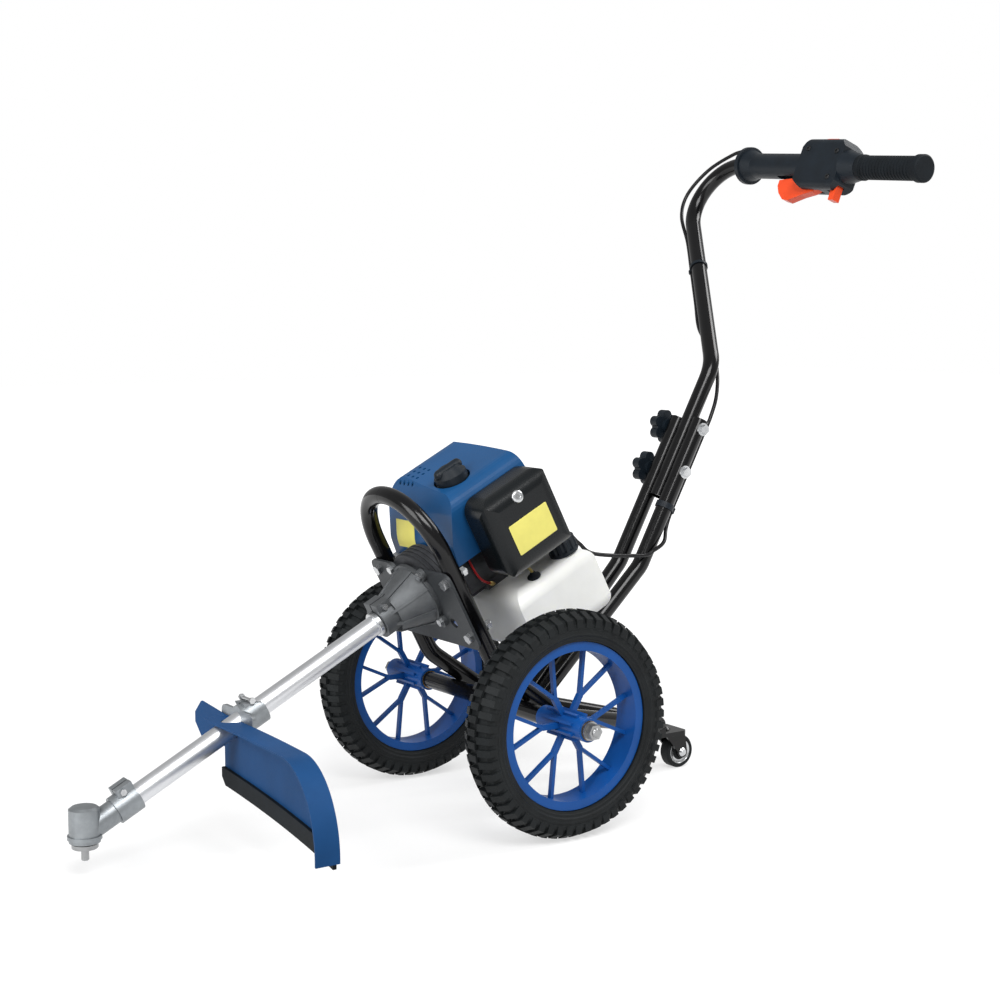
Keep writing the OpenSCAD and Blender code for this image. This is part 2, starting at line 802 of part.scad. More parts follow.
module throttle_form() {
  half = block_h / 2;
  rotate([0, 90, 0]) {
    translate([0, 0, throttle_at]) cylinder(d = throttle_flange_d, h = 8);
    translate([0, 0, throttle_at + 8]) cylinder(d1 = throttle_flange_d - 8, d2 = throttle_d, h = 18);
    translate([0, 0, throttle_at + 8]) cylinder(d = throttle_d, h = throttle_neck);
    translate([0, 0, block_end - eps]) cylinder(d1 = 54, d2 = grip_d + 2, h = end_cone);
  }
  intersection() {
    translate([0, block_t / 2, 0]) rotate([90, 0, 0]) linear_extrude(block_t) polygon([
      [neck_end, 12 - half], [neck_end + 16, -half], [block_end - 10, -half], [block_end, 12 - half],
      [block_end, half - 14], [block_end - 15, half], [neck_end + 10, half], [neck_end, half - 16],
    ]);
    translate([neck_end, -block_t / 2, -half]) rotate([90, 0, 90])
      linear_extrude(throttle_block) round_rect([block_t, block_h], 11);
  }
}

module throttle_cuts() {
  blade = trigger_w + 2 * play;
  rotate([0, 90, 0]) cylinder(d = tube_d + 2 * run_fit, h = bar_len);
  translate([neck_end - 56, -blade / 2, -block_h]) cube([110, blade, block_h - tube_r - 1.5]);
  translate([block_end - 25, -blade / 2, -block_h]) cube([22, blade, block_h - 22]);
  translate([lock_at - play, -lock_w / 2 - play, lock_floor])
    cube([lock_len + 2 * play, lock_w + 2 * play, block_h]);
  for (p = [trigger_pivot, switch_pivot])
    translate([p.x, 0, p.y]) rotate([90, 0, 0])
      cylinder(d = trigger_pin_d + 2 * run_fit, h = block_t - 12, center = true);
}

module throttle_shell(side) {
  color(black) at_bar() intersection() {
    difference() {
      throttle_form();
      throttle_cuts();
    }
    translate([0, side < 0 ? -throttle_flange_d : 0, -block_h])
      cube([bar_len, throttle_flange_d, 2 * block_h]);
  }
}

module throttle_shell_front() { throttle_shell(-1); }
module throttle_shell_rear() { throttle_shell(1); }

module throttle_trigger() {
  a = trigger_pivot.x;
  color(orange) at_bar() {
    translate([0, trigger_w / 2, 0]) rotate([90, 0, 0]) linear_extrude(trigger_w) polygon([
      [a - 91, -26], [a - 25, -19], [a + 3, -18], [a + 7, -24], [a + 8, -36], [a - 7, -44],
      [a - 30, -50], [a - 57, -60], [a - 70, -58], [a - 83, -48], [a - 91, -36],
    ]);
    translate([a, 0, trigger_pivot.y]) rotate([90, 0, 0])
      cylinder(d = trigger_pin_d, h = block_t - 14, center = true);
  }
}

module lock_button() {
  color(orange) at_bar() translate([lock_at, -lock_w / 2, block_h / 2 - 5]) rotate([90, 0, 90])
    linear_extrude(lock_len) polygon([[0, 0], [lock_w, 0], [lock_w, 8], [lock_w - 3, 10], [3, 10], [0, 8]]);
}

module stop_switch() {
  color(orange) at_bar() translate([switch_pivot.x, trigger_w / 2, switch_pivot.y]) rotate([90, 0, 0]) {
    linear_extrude(trigger_w) {
      circle(r = 6);
      polygon([[-6, 0], [6, 0], [7, -26], [-4, -26]]);
    }
    translate([0, 0, trigger_w / 2]) cylinder(d = trigger_pin_d, h = block_t - 14, center = true);
  }
}

module rubber_grip() {
  groove = 1.2;
  collar = 8;
  cap = 4;
  pitch = (grip_len - 3 * collar) / grip_rings;
  r = grip_d / 2;
  ribs = [for (i = [0:grip_rings - 1]) for (q = [[r, 0], [r, 0.55], [r - groove, 0.65], [r - groove, 0.9]])
    [q.x, collar + (i + q.y) * pitch]];
  section = concat([[tube_r + run_fit, seat], [r + 1.5, seat], [r + 1.5, collar - 1]], ribs, [
    [r, grip_len - 2 * collar], [r, grip_len - collar], [r + 2.5, grip_len - collar],
    [r + 2.5, grip_len + cap - 2], [r, grip_len + cap], [0, grip_len + cap],
    [0, grip_len + seat], [tube_r + run_fit, grip_len + seat],
  ]);
  color("#1d1f20") at_bar() translate([grip_at, 0, 0]) rotate([0, 90, 0]) rotate_extrude() polygon(section);
}

// Throttle cable: a route of hand-chosen points, rounded between them and swept as a round cord
cable_d = 6;
cable_sides = 8;
cable_steps = 3;
upright_dir = unit([handle_corner.x, handle_corner.y - kink_len]);
upright_top = handle_corner - upright_dir * handle_bend_r * tan(corner_angle / 2);
upright_out = [-upright_dir.y, upright_dir.x];
kink_angle = acos(upright_dir.y);
upright_len = norm(upright_top - [0, kink_len]) - handle_bend_r * tan(kink_angle / 2);
tie_run = upright_len / 3;
cable_off = tube_r + cable_d / 2 + play;
bar_up = [sin(bar_droop), cos(bar_droop)];
bend_centre = bar_start - handle_bend_r * bar_up;
mast_end = bolt_gap + mast_head;

// Places of the cable in the mast's plane: beside the upright, round the top bend and over the bar
function on_upright(run) = upright_top - upright_dir * run + upright_out * cable_off;
function round_bend(a, gap) = bend_centre + (handle_bend_r + tube_r + gap) * [cos(a), sin(a)];
function over_bar(run, height) = bar_start + run * bar_dir + height * bar_up;
function in_mast(p, x = 0) = [x, p.x, p.y];
upper_route = [
  in_mast(over_bar(throttle_at - play - 2 * seat, 23), 4), in_mast(over_bar(-8, 25), 4), in_mast(round_bend(108, 14), 2),
  in_mast(round_bend(140, 21)), in_mast(round_bend(168, 27)), in_mast(round_bend(192, 18)),
  in_mast(on_upright(upright_len / 10)), in_mast(on_upright(tie_run)), in_mast(on_upright(0.57 * upright_len)),
  in_mast(on_upright(0.77 * upright_len)), [-14, -43, kink_len + 39], [-18, -8, kink_len + 2],
  [-18, 16, kink_len - 43], [-cable_off, mast_top_half, mast_end + 15],
];
lower_route = [
  for (t = [mast_end + 13, 70, 20, -30, -64]) [-cable_off, mast_top_half, t],
  [-17, 28, -88], [-12, 42, -112], [2, 45, -132], [18, 43, -148],
];
engine_route = [
  [-268, 40, -96], [-250, 40, -66], [-237, 42, -44], [-200, 45, -40], [-160, 51, -37], [-138, 56, -18],
  [-126, 56, 6], [-126, 56, 25.5],
];
function catmull(a, b, c, d, s) = 0.5 * (2 * b + (c - a) * s + (2 * a - 5 * b + 4 * c - d) * s * s
  + (3 * b - a - 3 * c + d) * s * s * s);
function smooth(p, k) = concat([for (i = [0:len(p) - 2]) for (j = [0:k - 1])
  catmull(p[max(i - 1, 0)], p[i], p[i + 1], p[min(i + 2, len(p) - 1)], j / k)], [p[len(p) - 1]]);
function tangent(p, i) = unit(p[min(i + 1, len(p) - 1)] - p[max(i - 1, 0)]);
function cord_ring(p, i, side) = let (t = tangent(p, i), u = unit(cross(t, side)), v = cross(t, u))
  [for (k = [0:cable_sides - 1]) p[i] + cable_d / 2
    * (cos(360 * k / cable_sides) * u + sin(360 * k / cable_sides) * v)];

module cord(p, side) {
  n = cable_sides;
  last = len(p) - 1;
  points = [for (i = [0:last]) each cord_ring(p, i, side)];
  walls = [for (i = [0:last - 1]) for (k = [0:n - 1]) let (a = i * n + k, b = i * n + (k + 1) % n)
    each [[a, a + n, b], [b, a + n, b + n]]];
  ends = [for (k = [1:n - 2]) each [[0, k, k + 1], [last * n, last * n + k + 1, last * n + k]]];
  polyhedron(points, concat(walls, ends));
}

module throttle_cable_upper() {
  color(black) at_mast() cord(smooth(upper_route, cable_steps), [1, 0, 0]);
}

mast_front = [sin(mast_slope), 0, cos(mast_slope)];
function mast_to_world(p) = pivot_at + mast_dir * p.z + mast_front * p.x + [0, p.y, 0];

module throttle_cable_lower() {
  route = concat([for (p = lower_route) mast_to_world(p)], [for (p = engine_route) on_engine(p.x, p.y, p.z)]);
  color(black) cord(smooth(route, cable_steps), [0, 1, 0]);
}

// A band round a tube and the cable beside it, drawn with the cable towards -x
module band(height) {
  strap = 1.6;
  linear_extrude(height, center = true) difference() {
    union() {
      circle(d = tube_d + 2 * strap + 2 * seat);
      translate([-cable_off, 0]) circle(d = cable_d + 2 * strap + 2 * seat);
      translate([-cable_off, -cable_d / 2 - strap - seat]) square([cable_off, cable_d + 2 * (strap + seat)]);
    }
    circle(d = tube_d + 2 * seat);
    translate([-cable_off, 0]) circle(d = cable_d + 2 * seat);
    translate([-cable_off, -cable_d / 2 - seat]) square([cable_off, cable_d + 2 * seat]);
  }
}

module cable_tie() {
  at = upright_top - upright_dir * tie_run;
  color("#26282a") at_mast() translate([0, at.x, at.y])
    rotate([atan2(-upright_dir.x, upright_dir.y), 0, 0]) rotate([0, 0, 90]) band(5);
}

module cable_clip() {
  color("#26282a") at_mast() translate([0, mast_top_half, -59]) band(9);
}

// Boom: clutch housing, clutch, drive shaft
drum_bay = 30;
drum_gap = 2;
bearing_t = 9;
bearing_d = 28;
drum_hub_d = 14;
slit = 3;

module flange_bolt_holes() {
  along_boom()
    for (i = [0:3])
      rotate(45 + 90 * i) translate([flange_bolt_r, 0, -plate_t - tapped_depth - eps])
        cylinder(d = flange_bolt_d + 2 * seat, h = cone_flange_t + plate_t + tapped_depth + 2 * eps);
}

module clamp_bolt(width) {
  translate([0, 0, -width / 2]) hex_bolt(clamp_bolt_d, width, clamp_bolt_af, clamp_bolt_head, 0);
  translate([0, 0, width / 2]) linear_extrude(clamp_bolt_head) hexagon(clamp_bolt_af);
}

// Places of the clamp bolts: distance along the boom, height above its axis, length
cone_neck = 22;
cone_clamp = [cone_len - cone_neck / 2, boom_d / 2 + 8, 34];
case_clamp = [boom_end - 14, boom_d / 2 + 6.5, 24];
guard_clamp = [(guard_x - crank_x) / cos(boom_tilt) - 30, boom_d / 2 + 7, 26];

module clamp_bolt_hole(c) {
  translate([-c[1], 0, c[0]]) rotate([90, 0, 0])
    cylinder(d = clamp_bolt_d + 2 * seat, h = 2 * c[2], center = true);
}

module clutch_housing() {
  ear_h = cone_clamp[1] + 7;
  color(alloy) difference() {
    along_boom() difference() {
      union() {
        cylinder(d1 = cone_base_d, d2 = cone_mouth_d, h = cone_len - cone_neck);
        translate([0, 0, cone_len - cone_neck]) cylinder(d = cone_mouth_d - 8, h = cone_neck);
        linear_extrude(cone_flange_t) {
          circle(d = cone_base_d + 4);
          for (i = [0:3])
            rotate(45 + 90 * i) translate([flange_bolt_r, 0]) circle(r = 9);
        }
        for (i = [0:7])
          rotate(45 * i + 22.5) rotate([90, 0, 0]) linear_extrude(4, center = true) polygon([
            [cone_mouth_d / 2 - 8, 0], [cone_base_d / 2 + 1.5, 0],
            [cone_mouth_d / 2 + 2, cone_len - cone_neck], [cone_mouth_d / 2 - 8, cone_len - 10],
          ]);
        translate([-ear_h, -cone_clamp[2] / 2, cone_len - cone_neck]) cube([ear_h, cone_clamp[2], cone_neck]);
      }
      translate([0, 0, -eps]) cylinder(d = drum_d + 2 * drum_gap, h = drum_bay + eps);
      cylinder(d = bearing_d + 2 * fix_fit, h = drum_bay + bearing_t);
      cylinder(d = boom_d - 4, h = cone_len);
      translate([0, 0, boom_seat]) cylinder(d = boom_d + 2 * fix_fit, h = cone_len);
      translate([-ear_h - eps, -slit / 2, boom_seat + 6]) cube([ear_h + eps, slit, cone_len]);
      clamp_bolt_hole(cone_clamp);
    }
    flange_bolt_holes();
  }
}

// Crank end with the centrifugal shoes
crank_d = 16;
crank_depth = plate_t + 40;
shoe_at = 6;
shoe_t = 12;

module clutch_rotor() {
  shoe_r = drum_d / 2 - 5;
  split = 4;
  color("#8a8d90") along_boom() {
    translate([0, 0, -crank_depth]) cylinder(d = crank_d, h = crank_depth + shoe_at);
    translate([0, 0, shoe_at]) linear_extrude(shoe_t) difference() {
      circle(r = shoe_r);
      for (m = [0, 1])
        mirror([m, 0]) difference() {
          translate([0, -split / 2]) square([shoe_r + eps, split]);
          circle(r = 11);
        }
      for (m = [0, 1])
        mirror([0, m]) translate([0, 18]) circle(r = 5);
    }
  }
}

module clutch_drum() {
  wall = 3;
  color("#77797c") along_boom() rotate_extrude() polygon([
    [drive_d / 2 + fix_fit, drum_bay - 8], [drum_d / 2 - wall, drum_bay - 8], [drum_d / 2 - wall, 5],
    [drum_d / 2, 5], [drum_d / 2, drum_bay - 4], [drum_hub_d / 2, drum_bay - 4],
    [drum_hub_d / 2, drum_bay + bearing_t], [drive_d / 2 + fix_fit, drum_bay + bearing_t],
  ]);
}

bush_places = [boom_seat + 30, 210, 380, boom_end - 40];
bush_h = 14;

module bearing(od, id, h) {
  difference() {
    cylinder(d = od, h = h);
    translate([0, 0, -eps]) cylinder(d = id, h = h + 2 * eps);
  }
}

// Bearings of the drive line: drum, shaft bushes, pinion and spindle
module shaft_bearings() {
  color("#b9a26a") along_boom() {
    translate([0, 0, drum_bay]) bearing(bearing_d, drum_hub_d + 2 * run_fit, bearing_t);
    for (z = bush_places)
      translate([0, 0, z])
        bearing(boom_d - 2 * boom_wall - 2 * fix_fit, drive_d + 2 * run_fit, bush_h);
    translate([0, 0, boom_end + 3]) bearing(neck_bore - 2 * fix_fit, drive_d + 2 * run_fit, 8);
  }
  color("#b9a26a") translate([spindle_at.x, spindle_at.y, 0]) {
    translate([0, 0, head_base]) bearing(head_bore - 2 * fix_fit, spindle_d + 2 * run_fit, lower_bearing_t);
    translate([0, 0, head_base + top_bearing])
      bearing(top_bore - 2 * fix_fit, spindle_d + 2 * run_fit, upper_bearing_t);
  }
}

module boom_tube() {
  color(steel) along_boom() translate([0, 0, boom_seat + fix_fit])
    linear_extrude(boom_end - boom_seat - 2 * fix_fit) ring(boom_d, boom_wall);
}

// Bevel pair: pitch cones meet where the boom's axis crosses the spindle's
gear_module = 1.1;
pinion_teeth = 14;
gear_teeth = 19;
gear_face = 5;
pressure_angle = 20;
backlash = 0.2;
addendum = gear_module;
dedendum = 1.25 * gear_module;
flank_steps = 4;
shaft_angle = 90 - boom_tilt;
gear_cone = atan2(sin(shaft_angle), pinion_teeth / gear_teeth + cos(shaft_angle));
pinion_cone = shaft_angle - gear_cone;
cone_dist = gear_module * gear_teeth / 2 / sin(gear_cone);
cone_taper = (cone_dist - gear_face) / cone_dist;
function bevel_back(cone) = cone_dist * cos(cone);
function involute(a) = tan(a) * 180 / PI - a;

// Half angle of a tooth at radius r of the back cone's unrolled wheel, whose pitch radius is rv
function tooth_half(r, rv) = (PI * gear_module / 2 - backlash) / 2 / rv * 180 / PI + involute(pressure_angle)
  - involute(acos(min(1, rv * cos(pressure_angle) / r)));

// The same place in the plane across the wheel's large end: radius and angle from the tooth's middle
function tooth_point(height, cone, side) = let (rv = cone_dist * tan(cone), r = rv + height)
  [bevel_back(cone) * tan(cone + atan(height / cone_dist)), side * tooth_half(r, rv) / cos(cone)];

function tooth_outline(cone) = let (step = (addendum + dedendum) / flank_steps) concat(
  [for (i = [0:flank_steps]) tooth_point(i * step - dedendum, cone, -1)],
  [for (i = [0:flank_steps]) tooth_point(addendum - i * step, cone, 1)]
);

// A bevel wheel's teeth: the outline at the large end, drawn in towards the apex. The first tooth is at start
module bevel_teeth(teeth, cone, start) {
  outline = tooth_outline(cone);
  linear_extrude(gear_face * cos(cone), scale = cone_taper) polygon([
    for (i = [0:teeth - 1]) for (p = outline) let (a = start + i * 360 / teeth + p.y) p.x * [cos(a), sin(a)]
  ]);
}

// The shaft's end sits in a blind bore in the pinion's back
pinion_bore = 4;
pinion_hub = 3;
pinion_back = boom_len - bevel_back(pinion_cone);

module drive_shaft() {
  start = drum_bay - 7;
  color(steel) along_boom() translate([0, 0, start])
    cylinder(d = drive_d, h = pinion_back + pinion_bore - pinion_hub - start);
}

module bevel_pinion() {
  color("#8a8d90") along_boom() translate([0, 0, pinion_back]) difference() {
    union() {
      bevel_teeth(pinion_teeth, pinion_cone, 180);
      translate([0, 0, -pinion_hub]) cylinder(d = drive_d + 4, h = pinion_hub + eps);
    }
    translate([0, 0, -pinion_hub - eps])
      cylinder(d = drive_d + 2 * fix_fit, h = pinion_bore + fix_fit + eps);
  }
}

// Gear head
head_base = spindle_at.z - 12;
head_bore = 26;
top_bore = 20;
top_bearing = head_h - 12;
lower_bearing_t = 8;
upper_bearing_t = 7;
neck_bore = 22;
case_clamp_len = 30;

module gear_case() {
  ear_h = case_clamp[1] + 6;
  color(alloy) difference() {
    union() {
      along_boom() {
        translate([0, 0, boom_end - case_clamp_len]) cylinder(d = boom_d + 10, h = case_clamp_len + 4);
        translate([0, 0, boom_end]) cylinder(d = neck_bore + 10, h = boom_len - boom_end - 12);
        translate([-ear_h, -case_clamp[2] / 2, boom_end - case_clamp_len])
          cube([ear_h, case_clamp[2], case_clamp_len - 6]);
      }
      translate([spindle_at.x, 0, head_base]) {
        cylinder(d = head_d, h = head_h - 3);
        translate([0, 0, head_h - 3]) cylinder(d1 = head_d, d2 = head_d - 8, h = 3);
        translate([0, 0, 4]) cylinder(d = head_d + 4, h = 5);
      }
    }
    along_boom() {
      translate([0, 0, boom_end - case_clamp_len - eps])
        cylinder(d = boom_d + 2 * fix_fit, h = case_clamp_len + eps);
      translate([0, 0, boom_end - eps]) cylinder(d = neck_bore, h = boom_len - boom_end + eps);
      translate([-ear_h - eps, -slit / 2, boom_end - case_clamp_len - eps])
        cube([ear_h + eps, slit, case_clamp_len - 6 + eps]);
      clamp_bolt_hole(case_clamp);
    }
    translate([spindle_at.x, 0, 0]) {
      translate([0, 0, head_base - eps]) cylinder(d = head_bore, h = top_bearing + eps);
      translate([0, 0, head_base]) cylinder(d = top_bore, h = top_bearing + upper_bearing_t + play);
    }
  }
}

module clamp_bolts() {
  color(steel) along_boom()
    for (c = [cone_clamp, case_clamp, guard_clamp])
      translate([-c[1], 0, c[0]]) rotate([90, 0, 0]) clamp_bolt(c[2]);
}

// Spindle with its bevel gear, blade flange and bare end
module output_spindle() {
  flange_top = head_base - 2;
  flange_r = 17;
  flange_t = 6;
  edge = 1;
  pin_r = cutter_pin_d / 2;
  pin_top = flange_top - flange_t;
  gear_top = spindle_at.z + bevel_back(gear_cone);
  top = head_base + top_bearing + upper_bearing_t;
  color(steel) translate([spindle_at.x, 0, 0]) {
    rotate_extrude() polygon([
      [0, pin_top - cutter_pin_len], [pin_r - edge, pin_top - cutter_pin_len],
      [pin_r, pin_top - cutter_pin_len + edge], [pin_r, pin_top], [flange_r - edge, pin_top],
      [flange_r, pin_top + edge], [flange_r, flange_top], [spindle_d / 2, flange_top],
      [spindle_d / 2, top], [0, top],
    ]);
    translate([0, 0, gear_top]) mirror([0, 0, 1]) bevel_teeth(gear_teeth, gear_cone, 180 + 180 / gear_teeth);
    translate([0, 0, gear_top - eps]) cylinder(d = spindle_d + 4, h = 3);
  }
}

// Guard: a plate across the boom, with a lip round its top and outer end and an ear on the other side
guard_run = (guard_x - crank_x) / cos(boom_tilt);
guard_z = crank_z - guard_run * sin(boom_tilt);
strip_drop = 8;
function guard_low(y) = guard_bottom + (guard_reach - y) * tan(guard_slope);

// Outline of the plate, its top and outer end drawn in by t
module guard_outline(t) {
  difference() {
    polygon([
      [-guard_root, guard_low(-guard_root)], [guard_reach - t, guard_bottom],
      [guard_reach - t, guard_top - t], [-guard_root, guard_top - t],
    ]);
    translate([guard_reach - guard_corner, guard_top - guard_corner]) difference() {
      square(guard_corner + eps);
      circle(r = guard_corner - t);
    }
  }
}

module ear_outline() {
  drop = 36;
  rise = 14;
  cut = 18;
  polygon([
    [-guard_root, guard_z - drop], [cut - ear_reach, guard_z - drop], [-ear_reach, guard_z + cut - drop],
    [-ear_reach, guard_z + rise - cut], [cut - ear_reach, guard_z + rise], [-guard_root, guard_z + rise / 2],
    [0, guard_z + rise / 2], [0, guard_z - drop],
  ]);
}

// A wall of the guard's plan curve, thickness t, its rear face at x behind the guard's middle
module curved_wall(x, t) {
  translate([guard_x + guard_r, 0, 0]) difference() {
    cylinder(r = guard_r - x, h = 2 * guard_top, $fn = 256);
    translate([0, 0, -eps]) cylinder(r = guard_r - x - t, h = 2 * guard_top + 2 * eps, $fn = 256);
  }
}

// An outline seen along the machine, carried through the guard
module through_guard() {
  depth = 100;
  translate([guard_x - depth / 2, 0, 0]) rotate([90, 0, 90]) linear_extrude(2 * depth) children();
}

module guard() {
  color(blue) difference() {
    union() {
      intersection() {
        curved_wall(-guard_t / 2, guard_t);
        through_guard() {
          guard_outline(0);
          ear_outline();
        }
      }
      intersection() {
        curved_wall(-guard_t / 2, guard_t + guard_lip);
        through_guard() difference() {
          guard_outline(0);
          guard_outline(guard_t);
        }
      }
    }
    along_boom() cylinder(d = boom_d + 2, h = boom_len);
  }
}

module guard_strip() {
  end = guard_reach - guard_t - 2;
  corner = 10;
  low = -strip_drop;
  color(black) intersection() {
    curved_wall(guard_t / 2, strip_t);
    through_guard() polygon([
      [corner - guard_root, guard_low(corner - guard_root) + low], [end, guard_low(end) + low],
      [end, guard_low(end) + low + strip_h], [-guard_root, guard_low(-guard_root) + low + strip_h],
      [-guard_root, guard_low(-guard_root) + low + corner],
    ]);
  }
}

module guard_bracket() {
  ear_h = guard_clamp[1] + 6;
  sleeve_at = guard_run - 42;
  sleeve_len = 60;
  clamp_len = 24;
  plate_half = 46;
  pad_t = 5;
  back = guard_x - guard_t / 2 - seat;
  color(alloy) difference() {
    union() {
      intersection() {
        along_boom() {
          translate([0, 0, sleeve_at]) cylinder(d = boom_d + 14, h = sleeve_len);
          translate([-ear_h, -guard_clamp[2] / 2, sleeve_at]) cube([ear_h, guard_clamp[2], clamp_len]);
        }
        translate([back - 200, -100, 0]) cube(200);
      }
      translate([back - pad_t, -plate_half, guard_z - 22]) rotate([90, 0, 90])
        linear_extrude(pad_t) round_rect([2 * plate_half, 42], 8);
    }
    along_boom() {
      cylinder(d = boom_d + 2 * fix_fit, h = boom_len);
      translate([-ear_h - eps, -slit / 2, sleeve_at - eps]) cube([ear_h + eps, slit, clamp_len + 2 * eps]);
      clamp_bolt_hole(guard_clamp);
    }
  }
}

// Engine
case_back = 168;
deck = case_r;
recoil_back = case_back + 44;
plug_at = [10 - cylinder_back, 22];
cover_boss = [-18 - cylinder_back, -12];
boss_r = 8;
plug_cap_r = 24;
port_reach = 44;
head_top = 106;
plug_top = head_top + 6;

module crankcase() {
  sump_back = 160;
  sump_len = 72;
  sump_w = 60;
  web_back = 150;
  web_len = 100;
  web_gap = 36;
  web_t = 4;
  color(alloy) difference() {
    at_engine() difference() {
      union() {
        rotate([0, 90, 0]) {
          translate([0, 0, -plate_t - fan_t]) cylinder(r = fan_r, h = fan_t);
          translate([0, 0, -case_back]) cylinder(r = case_r, h = case_back - plate_t - eps);
          for (z = [0:3])
            translate([0, 0, -plate_t - fan_t + 4 + 7 * z]) cylinder(r = fan_r + 1.5, h = 3);
        }
        translate([-cylinder_back - 38, -34, 0]) cube([76, 68, deck]);
        translate([-sump_back, -sump_w / 2, -deck]) cube([sump_len, sump_w, deck]);
        for (y = [-web_gap / 2, web_gap / 2 - web_t])
          translate([-web_back, y, -case_r]) cube([web_len, web_t, case_r]);
      }
      rotate([0, 90, 0]) translate([0, 0, -crank_depth - play])
        cylinder(d = crank_d + 2 * run_fit, h = crank_depth + eps);
      rotate([0, 90, 0]) translate([0, 0, -plate_t - 6]) cylinder(r = 34, h = 10);
    }
    flange_bolt_holes();
  }
}

module cylinder_block_fins() {
  gap = (head_top - deck - 10) / fin_count;
  for (i = [0:fin_count - 1])
    translate([0, 0, deck + 6 + i * gap]) cylinder(r = fin_r, h = 3);
}

module cylinder_barrel() {
  translate([0, 0, deck]) cylinder(r = fin_r - 10, h = head_top - deck);
  translate([0, 0, deck]) cylinder(r = fin_r - 4, h = 5);
  translate([-14, -port_reach, deck + 10]) cube([28, 2 * port_reach, 28]);
}

module cylinder_head() {
  translate([plug_at.x + cylinder_back, plug_at.y, head_top - 6])
    linear_extrude(plug_top - head_top + 6) hexagon(16);
  translate([plug_at.x + cylinder_back, plug_at.y, head_top - 20]) cylinder(r = 8, h = 20);
  translate([cover_boss.x + cylinder_back, cover_boss.y, deck])
    cylinder(r = boss_r, h = roof(cover_boss.y + boss_r) - cover_wall - seat - deck);
}

module cylinder_block() {
  color("#9a9da1") at_engine() translate([-cylinder_back, 0, 0]) {
    cylinder_block_fins();
    cylinder_barrel();
    cylinder_head();
  }
}

module muffler() {
  depth = 42;
  color("#5a5450") at_engine() {
    translate([-cylinder_back - 40, -port_reach - 4, deck + 1]) rotate([90, 0, 0])
      linear_extrude(depth) round_rect([80, 56], 14);
    translate([-cylinder_back - 18, -port_reach - 4, deck + 8]) cube([36, 4, 32]);
    translate([-cylinder_back - 24, -port_reach - 4 - depth - 10, deck + 20]) rotate([-90, 0, 0])
      cylinder(d = 12, h = 12);
  }
}

// Arc of a rounded corner at b between its neighbours a and c
corner_steps = 8;
function corner_arc(a, b, c, r) = let (
  u = (a - b) / norm(a - b), v = (c - b) / norm(c - b), half = acos(u * v) / 2, m = (u + v) / norm(u + v),
  o = b + m * r / sin(half), from = b + u * r / tan(half) - o, to = b + v * r / tan(half) - o,
  sweep = acos(min(1, max(-1, from * to / r / r))), way = (from.x * to.y - from.y * to.x) < 0 ? -1 : 1)
  [for (k = [0:corner_steps]) let (g = way * sweep * k / corner_steps)
    o + [from.x * cos(g) - from.y * sin(g), from.x * sin(g) + from.y * cos(g)]];
function rounded(p, r) = [for (i = [0:len(p) - 1])
  each r[i] == 0 ? [p[i]] : corner_arc(p[(i + len(p) - 1) % len(p)], p[i], p[(i + 1) % len(p)], r[i])];

// Height of the cover's sloping top at side place y
function roof(y) = cover_top + cover_rise * (cover_left - y) / (cover_left + cover_right);

// The engine cover's form: side profile crossed with front profile, both drawn in by t
module cover_form(t, bottom) {
  top = cover_top + cover_rise;
  side = [
    [-cover_back + t, bottom], [-40 - t, bottom], [-43 - t, 56], [-62 - t, 98 - t / 2], [-88, top - t],
    [-cover_back + t + 8, top - t],
  ];
  front = [
    [-cover_right + t, bottom], [cover_left - t, bottom], [cover_left - t, cover_top - t],
    [-cover_right + t, top - t],
  ];
  intersection() {
    translate([0, cover_left + eps, 0]) rotate([90, 0, 0])
      linear_extrude(cover_left + cover_right + 2 * eps)
        polygon(rounded(side, [0, 0, 30, 26, 26 - t, 24 - t]));
    translate([-cover_back - eps, 0, 0]) rotate([90, 0, 90])
      linear_extrude(cover_back + 2 * eps) polygon(rounded(front, [0, 0, 26 - t, 32 - t]));
  }
}

module engine_cover() {
  color(blue) at_engine() difference() {
    cover_form(0, cover_bottom);
    cover_form(cover_wall, cover_bottom - 2 * eps);
    rotate([0, 90, 0]) translate([0, 0, -2 * cover_back])
      cylinder(r = max(recoil_r, case_r) + 2, h = 2 * cover_back);
    translate([-cylinder_back - 32, cover_left - 12, 0]) cube([62, 24, deck + 38]);
    translate([plug_at.x, plug_at.y, deck]) cylinder(r = plug_cap_r + 3, h = cover_top);
    for (i = [0:3])
      for (j = [0:3])
        translate([-82 - 11 * i, -38 - 11 * j, deck]) cylinder(d = 5, h = cover_top);
    for (i = [0:6])
      translate([-cylinder_back + 52 - 18 * i, -cover_right - eps, deck + 4]) cube([9, 12, 44]);
    translate([-cylinder_back - 24, 0, deck + 20]) rotate([90, 0, 0]) cylinder(d = 22, h = 2 * cover_right);
  }
}

// The plug's rubber boot, with a grip ridge along its top
module plug_cap() {
  dome = 10;
  ridge_r = 8;
  ridge_half = 16;
  top = roof(plug_at.y) + 18 - plug_top;
  color(black) at_engine() translate([plug_at.x, plug_at.y, plug_top]) {
    cylinder(r = plug_cap_r, h = top - dome);
    translate([0, 0, top - dome]) cylinder(r1 = plug_cap_r, r2 = plug_cap_r - dome, h = dome);
    translate([-ridge_half, 0, top - ridge_r / 2]) rotate([0, 90, 0])
      cylinder(r = ridge_r, h = 2 * ridge_half);
    for (x = [-ridge_half, ridge_half])
      translate([x, 0, top - ridge_r / 2]) sphere(r = ridge_r);
  }
}

filter_at = [-78 - filter_w, cover_left + 2, -14];
base_t = 4;
choke_at = [-44 - cylinder_back, 6];

